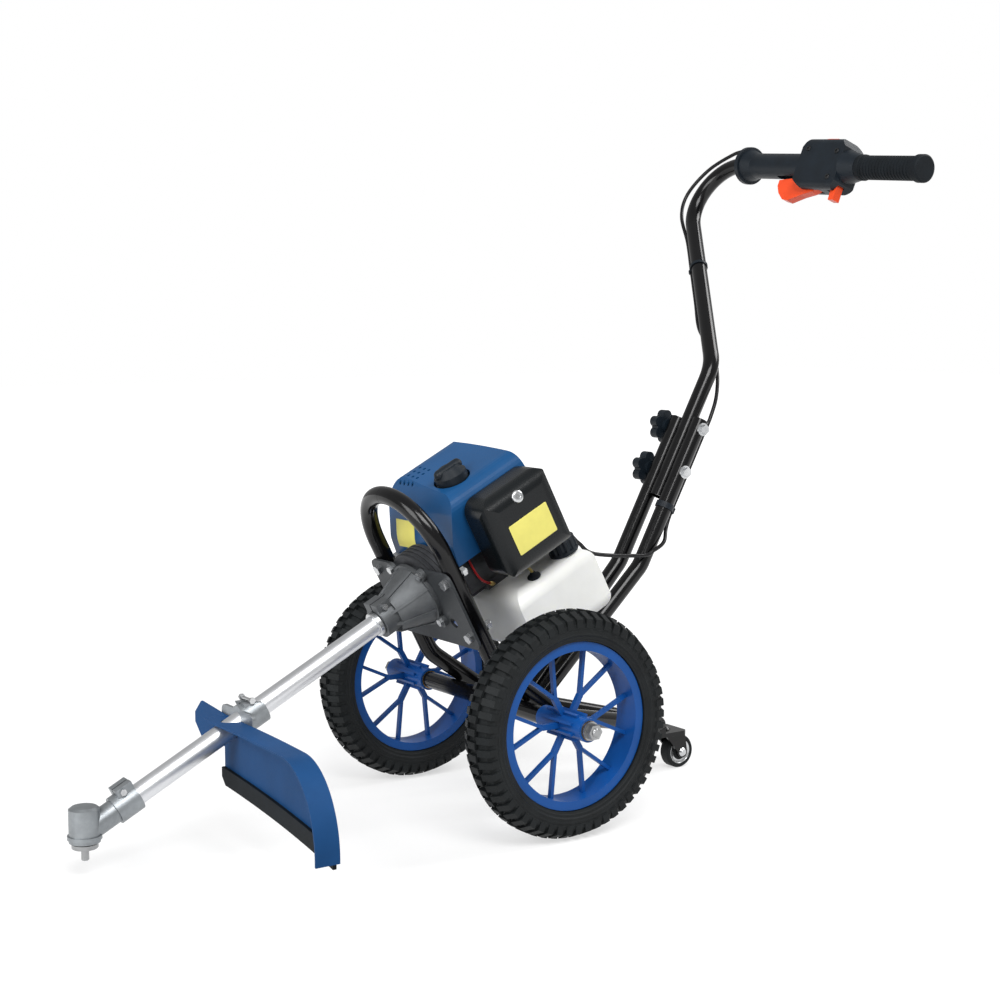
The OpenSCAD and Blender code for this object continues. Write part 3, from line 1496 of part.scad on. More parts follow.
module carburettor() {
  color("#84878b") at_engine() difference() {
    union() {
      translate([-cylinder_back - 26, port_reach, deck - 14]) cube([52, filter_at.y - port_reach, 50]);
      translate([-cylinder_back - 4, port_reach + 12, deck - 19]) cylinder(d = 18, h = 8);
      translate([filter_at.x + 2, filter_at.y + base_t, filter_at.z + 2]) rotate([90, 0, 0])
        linear_extrude(base_t) round_rect([filter_w - 4, filter_h - 4], 22);
    }
    translate([choke_at.x, filter_at.y - eps, choke_at.y]) rotate([-90, 0, 0])
      cylinder(d = 6 + 2 * run_fit, h = base_t + 2 * eps);
  }
}

module choke_lever() {
  color(black) at_engine() translate([choke_at.x, filter_at.y - seat, choke_at.y]) rotate([90, 0, 0]) {
    translate([0, 0, -base_t]) cylinder(d = 6, h = base_t + 5);
    linear_extrude(5) {
      circle(r = 7);
      translate([-5, -32]) square([10, 32]);
      translate([0, -32]) circle(r = 7);
    }
  }
}

module filter_form(t) {
  r = 22;
  depth = filter_t - base_t;
  translate([filter_at.x + t, filter_at.y + base_t, filter_at.z + t]) intersection() {
    translate([0, depth - t, 0]) rotate([90, 0, 0])
      linear_extrude(depth - t + (t > 0 ? eps : 0)) round_rect([filter_w - 2 * t, filter_h - 2 * t], r - t);
    translate([-eps, -depth, 0]) rotate([90, 0, 90])
      linear_extrude(filter_w + 2 * eps) round_rect([2 * depth - t, filter_h - 2 * t], r - t);
    translate([0, -depth, -eps]) linear_extrude(filter_h + 2 * eps)
      round_rect([filter_w - 2 * t, 2 * depth - t], r - t);
  }
}

module air_filter_cover() {
  color(black) at_engine() difference() {
    filter_form(0);
    filter_form(3);
  }
}

tank_at = [-82 - tank_len, -74, -deck - tank_h];
cap_at = [tank_at.x + 26, tank_at.y + tank_w - 30, tank_at.z + tank_h];
neck_d = 34;
neck_h = 9;
tank_corner = 22;

module tank_form(t) {
  r = tank_corner - t;
  size = [tank_len - 2 * t, tank_w - 2 * t, tank_h - 2 * t];
  translate(tank_at + [t, t, t]) intersection() {
    translate([0, size.y, 0]) rotate([90, 0, 0]) linear_extrude(size.y) round_rect([size.x, size.z], r);
    rotate([90, 0, 90]) linear_extrude(size.x) round_rect([size.y, size.z], r);
  }
}

module fuel_tank() {
  color("#f1f1ea") at_engine() difference() {
    union() {
      tank_form(0);
      translate([cap_at.x, cap_at.y, cap_at.z - tank_wall]) cylinder(d = neck_d, h = tank_wall + neck_h);
    }
    tank_form(tank_wall);
    translate([cap_at.x, cap_at.y, cap_at.z - 2 * tank_wall]) cylinder(d = neck_d - 8, h = 4 * neck_h);
  }
}

module fuel_cap() {
  color(black) at_engine() translate(cap_at + [0, 0, seat]) difference() {
    union() {
      cylinder(d = fuel_cap_d, h = fuel_cap_h - 4);
      translate([0, 0, fuel_cap_h - 4]) cylinder(d1 = fuel_cap_d, d2 = fuel_cap_d - 8, h = 4);
    }
    translate([0, 0, -eps]) cylinder(d = neck_d + 2 * run_fit, h = neck_h + eps);
    for (i = [0:11])
      rotate(30 * i) translate([fuel_cap_d / 2 + 2, 0, 5]) cylinder(r = 4, h = fuel_cap_h);
  }
}

starter_x = -case_back - 22;
guide_len = 8;

module recoil_cover() {
  color(black) at_engine() difference() {
    union() {
      rotate([0, 90, 0]) {
        translate([0, 0, -recoil_back + 8]) cylinder(r = recoil_r, h = recoil_back - case_back - 8);
        translate([0, 0, -recoil_back]) cylinder(r1 = recoil_r - 10, r2 = recoil_r, h = 8);
      }
      translate([starter_x, 10 - recoil_r, 0]) rotate([90, 0, 0]) cylinder(d = 20, h = 10 + guide_len);
    }
    for (i = [0:11])
      rotate([30 * i, 0, 0]) translate([-recoil_back - eps, 16, -3]) cube([12, 20, 6]);
    translate([starter_x, 10 - recoil_r, 0]) rotate([90, 0, 0]) cylinder(d = 5, h = 30);
  }
}

module starter_grip() {
  color(black) at_engine() translate([starter_x, -recoil_r - guide_len - seat, 0]) rotate([90, 0, 0]) {
    cylinder(d1 = 14, d2 = 18, h = 14);
    translate([-26, 0, 18]) rotate([0, 90, 0]) cylinder(d = 18, h = 52);
    for (x = [-26, 26])
      translate([x, 0, 18]) sphere(d = 18);
  }
}

// The origin is on the ground, in the middle of the machine's box: the guard reaches further than the axle
module stand() {
  translate([0, (axle_half - guard_reach) / 2, 0]) children();
}

stand() left_tyre();
stand() right_tyre();
stand() left_rim();
stand() right_rim();
stand() left_hub_bushes();
stand() right_hub_bushes();
stand() axle_tube();
stand() axle_rod();
stand() axle_nuts();
stand() front_hoop();
stand() left_rail();
stand() right_rail();
stand() cross_tube();
stand() engine_plate();
stand() plate_bolts();
stand() caster_bracket();
stand() caster_fork();
stand() caster_pin();
stand() caster_wheel();
stand() mast_left_tube();
stand() mast_right_tube();
stand() mast_bolts();
stand() upper_knob();
stand() lower_knob();
stand() handle_tube();
stand() throttle_shell_front();
stand() throttle_shell_rear();
stand() throttle_trigger();
stand() lock_button();
stand() stop_switch();
stand() rubber_grip();
stand() throttle_cable_upper();
stand() throttle_cable_lower();
stand() cable_tie();
stand() cable_clip();
stand() clutch_housing();
stand() clutch_rotor();
stand() clutch_drum();
stand() shaft_bearings();
stand() boom_tube();
stand() drive_shaft();
stand() gear_case();
stand() clamp_bolts();
stand() bevel_pinion();
stand() output_spindle();
stand() guard();
stand() guard_strip();
stand() guard_bracket();
stand() crankcase();
stand() cylinder_block();
stand() muffler();
stand() engine_cover();
stand() plug_cap();
stand() air_filter_cover();
stand() carburettor();
stand() choke_lever();
stand() fuel_tank();
stand() fuel_cap();
stand() recoil_cover();
stand() starter_grip();
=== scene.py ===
"""Wheeled string trimmer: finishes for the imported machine, its cords, blank panels, small screws
and bright rings, and a studio."""
import math

import bmesh
import bpy
import numpy as np
from mathutils import Matrix


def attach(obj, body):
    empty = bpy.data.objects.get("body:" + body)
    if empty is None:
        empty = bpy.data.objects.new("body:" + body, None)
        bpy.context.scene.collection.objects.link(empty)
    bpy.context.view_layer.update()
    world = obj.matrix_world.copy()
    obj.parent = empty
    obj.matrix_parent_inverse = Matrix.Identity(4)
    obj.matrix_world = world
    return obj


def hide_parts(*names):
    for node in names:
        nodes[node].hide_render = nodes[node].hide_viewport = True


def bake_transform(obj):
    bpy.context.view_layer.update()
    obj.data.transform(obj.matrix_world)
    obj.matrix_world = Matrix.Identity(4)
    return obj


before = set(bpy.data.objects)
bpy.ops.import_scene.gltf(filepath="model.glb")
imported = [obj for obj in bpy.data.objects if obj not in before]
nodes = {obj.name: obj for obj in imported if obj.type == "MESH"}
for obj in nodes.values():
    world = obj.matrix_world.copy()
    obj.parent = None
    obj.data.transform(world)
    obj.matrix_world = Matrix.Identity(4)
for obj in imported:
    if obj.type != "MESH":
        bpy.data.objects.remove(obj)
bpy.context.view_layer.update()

# Places on the machine in millimetres, and the directions of its boom and mast

MM = 0.001
SIDE_SHIFT = -22.0                          # the machine's middle plane
AXLE_HEIGHT = 157.5
CRANK = np.array([112.0, SIDE_SHIFT, 321.0])
PIVOT = np.array([-344.0, SIDE_SHIFT, 472.0])
CASTER_MIDDLE = np.array([-366.0, SIDE_SHIFT, 26.0])
BOOM_TILT = math.radians(27.5)
MAST_TILT = math.radians(61.5)
BAR_START = np.array([-129.64, 552.408])    # to the left of the mast and along it
BAR_DROOP = math.radians(5.0)
BAR_ROLL = math.radians(8.5)

BOOM_DIR = np.array([math.cos(BOOM_TILT), 0.0, -math.sin(BOOM_TILT)])
BOOM_UP = np.array([math.sin(BOOM_TILT), 0.0, math.cos(BOOM_TILT)])
MAST_DIR = np.array([-math.cos(MAST_TILT), 0.0, math.sin(MAST_TILT)])
MAST_FRONT = np.array([math.sin(MAST_TILT), 0.0, math.cos(MAST_TILT)])
LEFT = np.array([0.0, 1.0, 0.0])
UP = np.array([0.0, 0.0, 1.0])


def unit(v):
    """Vectors brought to a length of one, along the last axis."""
    v = np.asarray(v, float)
    return v / np.linalg.norm(v, axis=-1, keepdims=True)


def along_axes(p, origin, axes):
    """Places in millimetres along three axes from an origin, as metres in the shared frame."""
    return (origin + np.asarray(p, float) @ np.array(axes)) * MM


def on_engine(p):
    """Engine places: along the boom, to the left, up from the crank axis."""
    return along_axes(p, CRANK, (BOOM_DIR, LEFT, BOOM_UP))


def on_mast(p):
    """Mast places: forwards of the mast, to the left, along it from the pivot."""
    return along_axes(p, PIVOT, (MAST_FRONT, LEFT, MAST_DIR))


def on_bar(p):
    """Bar places (along the bar to its free end, to the rear, up): rolled about the bar, drooped
    with it, and set at the bar's start on the mast."""
    run, back, up = np.moveaxis(np.asarray(p, float), -1, 0)
    rear = back * math.cos(BAR_ROLL) - up * math.sin(BAR_ROLL)
    rise = back * math.sin(BAR_ROLL) + up * math.cos(BAR_ROLL)
    side = run * math.cos(BAR_DROOP) + rise * math.sin(BAR_DROOP)
    along = rise * math.cos(BAR_DROOP) - run * math.sin(BAR_DROOP)
    return on_mast(np.stack([-rear, BAR_START[0] + side, BAR_START[1] + along], -1))


# Meshes

SHARP_FROM = math.radians(40.0)     # edges that turn further than this are shaded sharp
MERGE = 1e-6                        # points nearer than this are one point, in metres
ROUTE_STEPS = 8                     # samples to a span of a cord's route
PLATE_SIDES = 64                    # points round a plate's outline


def surface(name, grid, around=True):
    """A mesh from a grid of points: rows along u, columns along v. With around, the last column
    joins the first. A row whose points all meet is a closed pole."""
    index = np.arange(grid.shape[0] * grid.shape[1]).reshape(grid.shape[:2])
    if around:
        index = np.concatenate([index, index[:, :1]], 1)
    faces = np.stack([index[:-1, :-1], index[:-1, 1:], index[1:, 1:], index[1:, :-1]], -1)
    mesh = bpy.data.meshes.new(name)
    mesh.from_pydata(grid.reshape(-1, 3).tolist(), [], faces.reshape(-1, 4).tolist())
    work = bmesh.new()
    work.from_mesh(mesh)
    bmesh.ops.remove_doubles(work, verts=work.verts, dist=MERGE)
    bmesh.ops.recalc_face_normals(work, faces=work.faces)
    work.to_mesh(mesh)
    work.free()
    mesh.polygons.foreach_set("use_smooth", np.ones(len(mesh.polygons), bool))
    mesh.set_sharp_from_angle(angle=SHARP_FROM)
    obj = bpy.data.objects.new(name, mesh)
    bpy.context.scene.collection.objects.link(obj)
    return obj


def circle(sides):
    """Angles round a full turn, shaped to spread over rows and coordinates."""
    return np.linspace(0.0, 2 * math.pi, sides, endpoint=False)[None, :, None]


def rounded_route(points):
    """A smooth route through given points: the uniform Catmull-Rom cubic."""
    p = np.asarray(points, float)
    padded = np.concatenate([p[:1], p, p[-1:]])
    s = np.linspace(0.0, 1.0, ROUTE_STEPS, endpoint=False)[None, :, None]
    a, b, c, d = (padded[i:i + len(p) - 1, None, :] for i in range(4))
    curve = 0.5 * (2 * b + (c - a) * s + (2 * a - 5 * b + 4 * c - d) * s ** 2
                   + (3 * b - a - 3 * c + d) * s ** 3)
    return np.concatenate([curve.reshape(-1, 3), p[-1:]])


def cord_surface(name, route, radius, sides):
    """A round cord: a circle of that radius, in millimetres, carried square to the route, its
    ends drawn to a point. The circle is turned by a fixed slanting direction."""
    tangent = unit(np.gradient(route, axis=0))
    across = unit(np.cross(tangent, [0.3, 0.2, 1.0]))
    other = np.cross(tangent, across)
    ends = np.r_[0, np.arange(len(route)), len(route) - 1]
    size = np.full(len(ends), radius * MM)
    size[[0, -1]] = 0.0
    v = circle(sides)
    ring = np.cos(v) * across[ends, None, :] + np.sin(v) * other[ends, None, :]
    return surface(name, route[ends, None, :] + size[:, None, None] * ring)


def turned(name, profile, centre, axis, sides=40):
    """A turned form: a profile of (radius, height), in millimetres, carried round an axis. A
    profile that ends where it starts makes a ring."""
    axis = unit(axis)
    start = unit(np.cross(axis, [0.123, 0.7, 0.41]))
    other = np.cross(axis, start)
    radius, height = (np.asarray(profile, float) * MM).T[:, :, None, None]
    v = circle(sides)
    ring = np.cos(v) * start + np.sin(v) * other
    return surface(name, np.asarray(centre) + radius * ring + height * axis)


def plate(name, origin, right, up, size, thick, corner):
    """A thin plate with round corners: a rounded rectangle's outline, scaled in to its middle on
    both faces. The outline is the corner circle pushed out to the rectangle's inner corners by
    the signs of cosine and sine."""
    right, up = unit(right), unit(up)
    out = np.cross(right, up)
    angle = np.linspace(0.0, 2 * math.pi, PLATE_SIDES, endpoint=False) + math.pi / PLATE_SIDES
    half = np.array(size) / 2 - corner
    x = np.sign(np.cos(angle)) * half[0] + corner * np.cos(angle)
    y = np.sign(np.sin(angle)) * half[1] + corner * np.sin(angle)
    rings = [(0.0, 0.0), (1.0, 0.0), (1.0, thick * 0.7), (0.99, thick), (0.97, thick), (0.0, thick)]
    grid = [(s * x)[:, None] * right + (s * y)[:, None] * up + h * out for s, h in rings]
    return surface(name, np.asarray(origin) + np.array(grid) * MM)


def wrapped_plate(name, line, across, thick):
    """A thin plate bent over a wall: the wall's line of (along, up) points and the same line
    pushed out by the thickness make a closed section, which is carried from one side to the
    other, its ends drawn to a point."""
    line = np.asarray(line, float)
    run = unit(np.gradient(line, axis=0))
    outer = line + thick * np.stack([run[:, 1], -run[:, 0]], 1)
    section = np.concatenate([line, outer[::-1]])
    middle = np.broadcast_to(section.mean(0), section.shape)
    rows = [(middle, across[0]), (section, across[0]), (section, across[1]), (middle, across[1])]
    grid = [np.stack([q[:, 0], np.full(len(q), y), q[:, 1]], 1) for q, y in rows]
    return surface(name, on_engine(np.array(grid)))


# Finishes

GRAIN_DEPTH = 0.0006                # height of the fine grain, in metres
RING_DEPTH = 0.0008                 # height of the moulded rings, in metres
RING_STRENGTH = 0.6
CLOUD_LOW, CLOUD_HIGH = 0.3, 0.7    # where the clouds of the broad noise start and end
LEAST_ROUGH = 0.03
COAT_ROUGH = 0.08
GLOW_THROUGH = (0.01, 0.01, 0.008)  # how far light runs inside a milky plastic, in metres


def node_of(tree, kind, **inputs):
    """A new shader node with its sockets set. An underscore stands for a space."""
    n = tree.nodes.new(kind)
    for key, value in inputs.items():
        n.inputs[key.replace("_", " ")].default_value = value
    return n


def math_of(tree, kind, operation, *sources):
    """A new maths node of that kind, fed by the sources in order."""
    n = tree.nodes.new(kind)
    n.operation = operation
    for socket, source in zip(n.inputs, sources):
        tree.links.new(source, socket)
    return n


def moulded_rings(tree, place, pitch, inner, outer):
    """Moulded rings round the wheels' axle as bump: their height is a sine of the distance from
    the axle, with that pitch, between an inner and an outer radius in metres."""
    flat = node_of(tree, "ShaderNodeMapping", Location=(0.0, 0.0, -AXLE_HEIGHT * MM),
                   Scale=(1.0, 0.0, 1.0))
    tree.links.new(place, flat.inputs["Vector"])
    away = math_of(tree, "ShaderNodeVectorMath", "LENGTH", flat.outputs["Vector"])
    turns = node_of(tree, "ShaderNodeMapRange", From_Min=inner, From_Max=outer, To_Min=0.0,
                    To_Max=2 * math.pi * round((outer - inner) / pitch))
    tree.links.new(away.outputs["Value"], turns.inputs["Value"])
    wave = math_of(tree, "ShaderNodeMath", "SINE", turns.outputs["Result"])
    moulded = node_of(tree, "ShaderNodeBump", Strength=RING_STRENGTH, Distance=RING_DEPTH)
    tree.links.new(wave.outputs[0], moulded.inputs["Height"])
    return moulded.outputs["Normal"]


def finish(name, colour, rough, metal=0.0, vary=0.12, grain=900.0, bump=0.05, coat=0.0, cloud=22.0,
           dirt=0.0, through=0.0, shine=0.5, uneven=0.09, rings=None):
    """A finish for one material: its colour clouded by broad noise, its roughness broken by fine
    noise, and that fine grain as bump. vary is how far the colour strays, and dirt darkens the
    hollows of the broad noise. uneven is how far the roughness strays. shine is the strength of
    the plain reflection, coat that of a clear coat, and through lets light run inside. rings
    gives moulded rings: their pitch and the two radii that they lie between."""
    m = bpy.data.materials.new(name)
    m.use_nodes = True
    t = m.node_tree
    shader = t.nodes["Principled BSDF"]
    place = t.nodes.new("ShaderNodeTexCoord").outputs["Object"]
    broad = node_of(t, "ShaderNodeTexNoise", Scale=cloud, Detail=5.0, Roughness=0.6)
    fine = node_of(t, "ShaderNodeTexNoise", Scale=grain, Detail=2.0, Roughness=0.5)
    for n in (broad, fine):
        t.links.new(place, n.inputs["Vector"])
    ramp = t.nodes.new("ShaderNodeValToRGB")
    low, high = ramp.color_ramp.elements
    low.position, high.position = CLOUD_LOW, CLOUD_HIGH
    low.color = (*(c * (1.0 - vary - dirt) for c in colour), 1.0)
    high.color = (*(min(1.0, c * (1.0 + vary)) for c in colour), 1.0)
    t.links.new(broad.outputs["Fac"], ramp.inputs["Fac"])
    t.links.new(ramp.outputs["Color"], shader.inputs["Base Color"])
    spread = node_of(t, "ShaderNodeMapRange", To_Min=max(LEAST_ROUGH, rough - uneven),
                     To_Max=min(1.0, rough + uneven))
    t.links.new(fine.outputs["Fac"], spread.inputs["Value"])
    t.links.new(spread.outputs["Result"], shader.inputs["Roughness"])
    raised = node_of(t, "ShaderNodeBump", Strength=bump, Distance=GRAIN_DEPTH)
    t.links.new(fine.outputs["Fac"], raised.inputs["Height"])
    t.links.new(raised.outputs["Normal"], shader.inputs["Normal"])
    if rings:
        t.links.new(moulded_rings(t, place, *rings), raised.inputs["Normal"])
    shader.inputs["Metallic"].default_value = metal
    shader.inputs["Specular IOR Level"].default_value = shine
    shader.inputs["Coat Weight"].default_value = coat
    shader.inputs["Coat Roughness"].default_value = COAT_ROUGH
    shader.inputs["Subsurface Weight"].default_value = through
    shader.inputs["Subsurface Radius"].default_value = GLOW_THROUGH
    return m


FINISHES = {
    "tyre_rubber": dict(colour=(0.0075, 0.0092, 0.0100), rough=0.6, vary=0.35, grain=700, bump=0.3,
                        cloud=30, shine=0.22, rings=(0.0055, 0.1195, 0.136)),
    "rim_blue": dict(colour=(0.004, 0.074, 0.305), rough=0.38, vary=0.10, bump=0.03, coat=0.05,
                     cloud=14, shine=0.25),
    "frame_black": dict(colour=(0.003, 0.003, 0.0035), rough=0.16, vary=0.2, grain=500, bump=0.02,
                        cloud=9, shine=0.32),
    "plate_grey": dict(colour=(0.040, 0.044, 0.048), rough=0.45, metal=0.25, vary=0.14, bump=0.06,
                       cloud=16, shine=0.35),
    "zinc": dict(colour=(0.60, 0.61, 0.62), rough=0.28, metal=1.0, vary=0.14, grain=1200,
                 bump=0.05, cloud=60),
    "bare_steel": dict(colour=(0.34, 0.345, 0.35), rough=0.32, metal=1.0, vary=0.14, grain=1200,
                       bump=0.05, cloud=60),
    "black_zinc": dict(colour=(0.035, 0.036, 0.038), rough=0.35, metal=0.8, vary=0.2, grain=1200,
                       bump=0.06, cloud=80),
    "boom_alloy": dict(colour=(0.74, 0.75, 0.77), rough=0.38, metal=1.0, vary=0.05, grain=90,
                       bump=0.0, cloud=9, uneven=0.03),
    "cast_alloy": dict(colour=(0.125, 0.132, 0.138), rough=0.5, metal=0.7, vary=0.16, grain=1100,
                       bump=0.22, cloud=34, dirt=0.06),
    "gear_alloy": dict(colour=(0.30, 0.32, 0.335), rough=0.42, metal=0.85, vary=0.14, grain=1000,
                       bump=0.18, cloud=40, dirt=0.05),
    # Painted shade: the crankcase's alloy is coloured dark because its side lies in shadow.
    "case_alloy_painted_shade": dict(colour=(0.055, 0.057, 0.062), rough=0.55, metal=0.5, vary=0.2, grain=1100,
                       bump=0.22, cloud=34, dirt=0.1, shine=0.3),
    "fin_alloy": dict(colour=(0.30, 0.31, 0.32), rough=0.5, metal=0.8, vary=0.18, grain=900,
                      bump=0.2, cloud=40, dirt=0.1),
    "bronze": dict(colour=(0.42, 0.28, 0.12), rough=0.35, metal=1.0, vary=0.14, bump=0.05,
                   cloud=60),
    "brass": dict(colour=(0.62, 0.45, 0.16), rough=0.3, metal=1.0, vary=0.12, bump=0.05, cloud=80),
    "muffler_steel": dict(colour=(0.10, 0.085, 0.07), rough=0.5, metal=0.9, vary=0.3, bump=0.12,
                          cloud=25, dirt=0.1),
    "cover_blue": dict(colour=(0.006, 0.062, 0.178), rough=0.36, vary=0.10, grain=800, bump=0.05,
                       coat=0.05, cloud=12, shine=0.24),
    "guard_blue": dict(colour=(0.009, 0.056, 0.168), rough=0.55, vary=0.12, grain=700, bump=0.08,
                       cloud=10, shine=0.12),
    "moulded_black": dict(colour=(0.0045, 0.0085, 0.0135), rough=0.46, vary=0.3, grain=1500,
                          bump=0.18, cloud=30, shine=0.28),
    "filter_black": dict(colour=(0.0035, 0.0050, 0.0060), rough=0.28, vary=0.25, grain=1300,
                         bump=0.05, cloud=18, shine=0.3),
    "signal_orange": dict(colour=(0.82, 0.072, 0.014), rough=0.35, vary=0.08, grain=1200,
                          bump=0.06, coat=0.1, cloud=40, shine=0.3),
    "soft_black": dict(colour=(0.0045, 0.0070, 0.0095), rough=0.7, vary=0.3, grain=900, bump=0.3,
                       cloud=40, shine=0.2),
    "cord_black": dict(colour=(0.005, 0.005, 0.006), rough=0.34, vary=0.2, grain=900, bump=0.06,
                       cloud=60, shine=0.3),
    "lead_red": dict(colour=(0.42, 0.012, 0.015), rough=0.4, vary=0.1, grain=900, bump=0.05,
                     cloud=60, shine=0.3),
    "hose_amber": dict(colour=(0.34, 0.26, 0.055), rough=0.3, vary=0.15, grain=900, bump=0.03,
                       cloud=60, through=0.2),
    "tank_white": dict(colour=(0.87, 0.875, 0.85), rough=0.38, vary=0.05, grain=500, bump=0.05,
                       coat=0.1, cloud=14, through=0.25),
    "panel_yellow": dict(colour=(0.82, 0.75, 0.19), rough=0.4, vary=0.06, grain=700, bump=0.03,
                         cloud=30, shine=0.3),
}
materials = {name: finish(name, **look) for name, look in FINISHES.items()}

WEARS = {
    "tyre_rubber": "left_tyre right_tyre caster_wheel",
    "rim_blue": "left_rim right_rim",
    "bronze": "left_hub_bushes right_hub_bushes shaft_bearings",
    "frame_black": "axle_tube front_hoop left_rail right_rail cross_tube mast_left_tube "
                   "mast_right_tube handle_tube caster_bracket caster_fork",
    "plate_grey": "engine_plate",
    "zinc": "plate_bolts mast_bolts clamp_bolts caster_pin",
    "bare_steel": "axle_rod axle_nuts drive_shaft output_spindle bevel_pinion clutch_rotor "
                  "clutch_drum",
    "boom_alloy": "boom_tube",
    "cast_alloy": "clutch_housing",
    "gear_alloy": "gear_case guard_bracket",
    # The crankcase wears a dark alloy whose darkness is painted shade.
    "case_alloy_painted_shade": "crankcase",
    "fin_alloy": "cylinder_block carburettor",
    "muffler_steel": "muffler",
    "cover_blue": "engine_cover",
    "guard_blue": "guard",
    "moulded_black": "upper_knob lower_knob throttle_shell_front throttle_shell_rear plug_cap "
                     "choke_lever fuel_cap recoil_cover starter_grip cable_tie cable_clip",
    "filter_black": "air_filter_cover",
    "signal_orange": "throttle_trigger lock_button stop_switch",
    "soft_black": "rubber_grip guard_strip",
    "cord_black": "throttle_cable_upper throttle_cable_lower",
    "tank_white": "fuel_tank",
}
for look, wearers in WEARS.items():
    for wearer in wearers.split():
        nodes[wearer].data.materials.clear()
        nodes[wearer].data.materials.append(materials[look])


def dress(obj, look, body=None):
    """Gives a new piece its finish and the body that carries it."""
    obj.data.materials.append(materials[look])
    if body:
        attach(obj, body)
    return obj


# Throttle cable, from the grip down the upright and mast and across to the carburettor

CABLE_R = 3.0
UPRIGHT_TOP = np.array([-191.899, 440.886])
UPRIGHT = unit([-285.0, 383.0])
UPRIGHT_OUT = np.array([-UPRIGHT[1], UPRIGHT[0]])
BESIDE = 16.0


def on_upright(run):
    """A cable point beside the leaning upright: its top, less the run along it, pushed out to
    the right."""
    side, along = UPRIGHT_TOP - UPRIGHT * run + UPRIGHT_OUT * BESIDE
    return [0.0, side, along]


CABLE_UPPER = [[4, -114.5, 574.2], [4, -135.4, 578.0], [2, -165.6, 574.5], [0, -215.0, 549.2],
               [0, -242.9, 505.4], [0, -234.0, 461.8], on_upright(29.8), on_upright(99.4),
               on_upright(170), on_upright(229.7), [-14, -43, 222], [-18, -8, 185], [-18, 16, 140]]
CABLE_LOWER = [[-16, 25.5, 102], [-16, 25.5, 70], [-16, 25.5, 20], [-16, 25.5, -30],
               [-16, 25.5, -64], [-17, 28, -88], [-12, 42, -112], [2, 45, -132], [18, 43, -148]]
CABLE_END = [[-268, 40, -96], [-250, 40, -66], [-237, 42, -44], [-200, 45, -40], [-160, 51, -37],
             [-138, 56, -18], [-126, 56, 6], [-126, 56, 25.5]]

cable_route = rounded_route(np.concatenate([on_mast(CABLE_UPPER), on_mast(CABLE_LOWER),
                                            on_engine(CABLE_END)]))
cable = dress(cord_surface("throttle_cable", cable_route, CABLE_R, 14), "cord_black")
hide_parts("throttle_cable_upper", "throttle_cable_lower")
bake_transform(cable)

# Starter cord between the recoil housing and its grip

STARTER_CORD_R = 1.8
STARTER_AT = -190.0                 # along the boom from the crank


def on_starter(sides):
    """Places on the starter cord's straight line, by their distance to the left."""
    sides = np.asarray(sides, float)
    return on_engine(np.stack([np.full_like(sides, STARTER_AT), sides, np.zeros_like(sides)], -1))


starter_cord = dress(cord_surface("starter_cord", on_starter([-40, -47, -53, -58, -64]),
                                  STARTER_CORD_R, 10), "soft_black")
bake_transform(starter_cord)

# Lead of the ignition, with its joint, and the fuel hose with its grommet

LEAD_R = 1.7
LEAD_BEND, LEAD_JOINT, LEAD_LEAVES = [-84, 43.5, -29], [-92, 39, -36], [-96, 35.5, -39.5]
LEAD = [[-66, 50, 36], [-67, 51, 24], [-68, 51, 12], [-70, 49.5, -3], [-75, 47, -18], LEAD_BEND,
        LEAD_JOINT]
LEAD_TAIL = [LEAD_JOINT, LEAD_LEAVES, [-100, 32, -43], [-103, 27, -45]]
JOINT_PROFILE = [(0, -7), (2.2, -7), (2.7, -5.5), (2.7, -1), (3.1, -0.6), (3.1, 0.6), (2.7, 1),
                 (2.7, 5.5), (2.2, 7), (0, 7)]
HOSE_R = 2.3
HOSE = [[-135, 83, -48], [-135, 83, -40], [-134, 82, -32], [-131, 78, -24], [-129, 74, -17],
        [-128, 73, -9]]
GROMMET_AT = [-135, 83, -46]
GROMMET_PROFILE = [(0, -1), (9.5, -1), (10.0, 0.5), (10.0, 2.2), (9.0, 3.6), (6.2, 4.4),
                   (4.6, 6.5), (3.6, 8.5), (0, 8.5)]


def engine_cord(name, points, radius, sides, look):
    """A cord that is fixed to the engine at both ends."""
    cord = cord_surface(name, rounded_route(on_engine(points)), radius, sides)
    dress(cord, look, "chassis")


engine_cord("ignition_lead", LEAD, LEAD_R, 12, "lead_red")
engine_cord("lead_tail", LEAD_TAIL, LEAD_R, 12, "cord_black")
lead_joint = turned("lead_joint", JOINT_PROFILE, on_engine(LEAD_JOINT),
                    on_engine(LEAD_LEAVES) - on_engine(LEAD_BEND), sides=20)
dress(lead_joint, "brass", "chassis")
engine_cord("fuel_hose", HOSE, HOSE_R, 14, "hose_amber")
grommet = turned("hose_grommet", GROMMET_PROFILE, on_engine(GROMMET_AT), BOOM_UP)
dress(grommet, "soft_black", "chassis")

# Blank yellow panels on the filter cover and on the front wall of the engine cover

FILTER_PANEL_AT = [-138.5, 130.0, 38.5]
FILTER_PANEL_SIZE, FILTER_PANEL_THICK, FILTER_PANEL_CORNER = (70, 46), 0.5, 2.0
FRONT_WALL = [[-41.67, 44], [-42.2, 48.8], [-42.6, 51.8], [-43.3, 55.4], [-44.9, 60.3],
              [-50.2, 72], [-54.8, 82]]
COVER_PANEL_SIDES, COVER_PANEL_THICK = (-78.0, -30.0), 0.7

side_panel = plate("filter_panel", on_engine(FILTER_PANEL_AT), -BOOM_DIR, BOOM_UP,
                   FILTER_PANEL_SIZE, FILTER_PANEL_THICK, FILTER_PANEL_CORNER)
dress(side_panel, "panel_yellow", "chassis")
front_panel = wrapped_plate("cover_panel", FRONT_WALL, COVER_PANEL_SIDES, COVER_PANEL_THICK)
dress(front_panel, "panel_yellow", "chassis")

# Bright collar on the boom at the mouth of the clutch housing

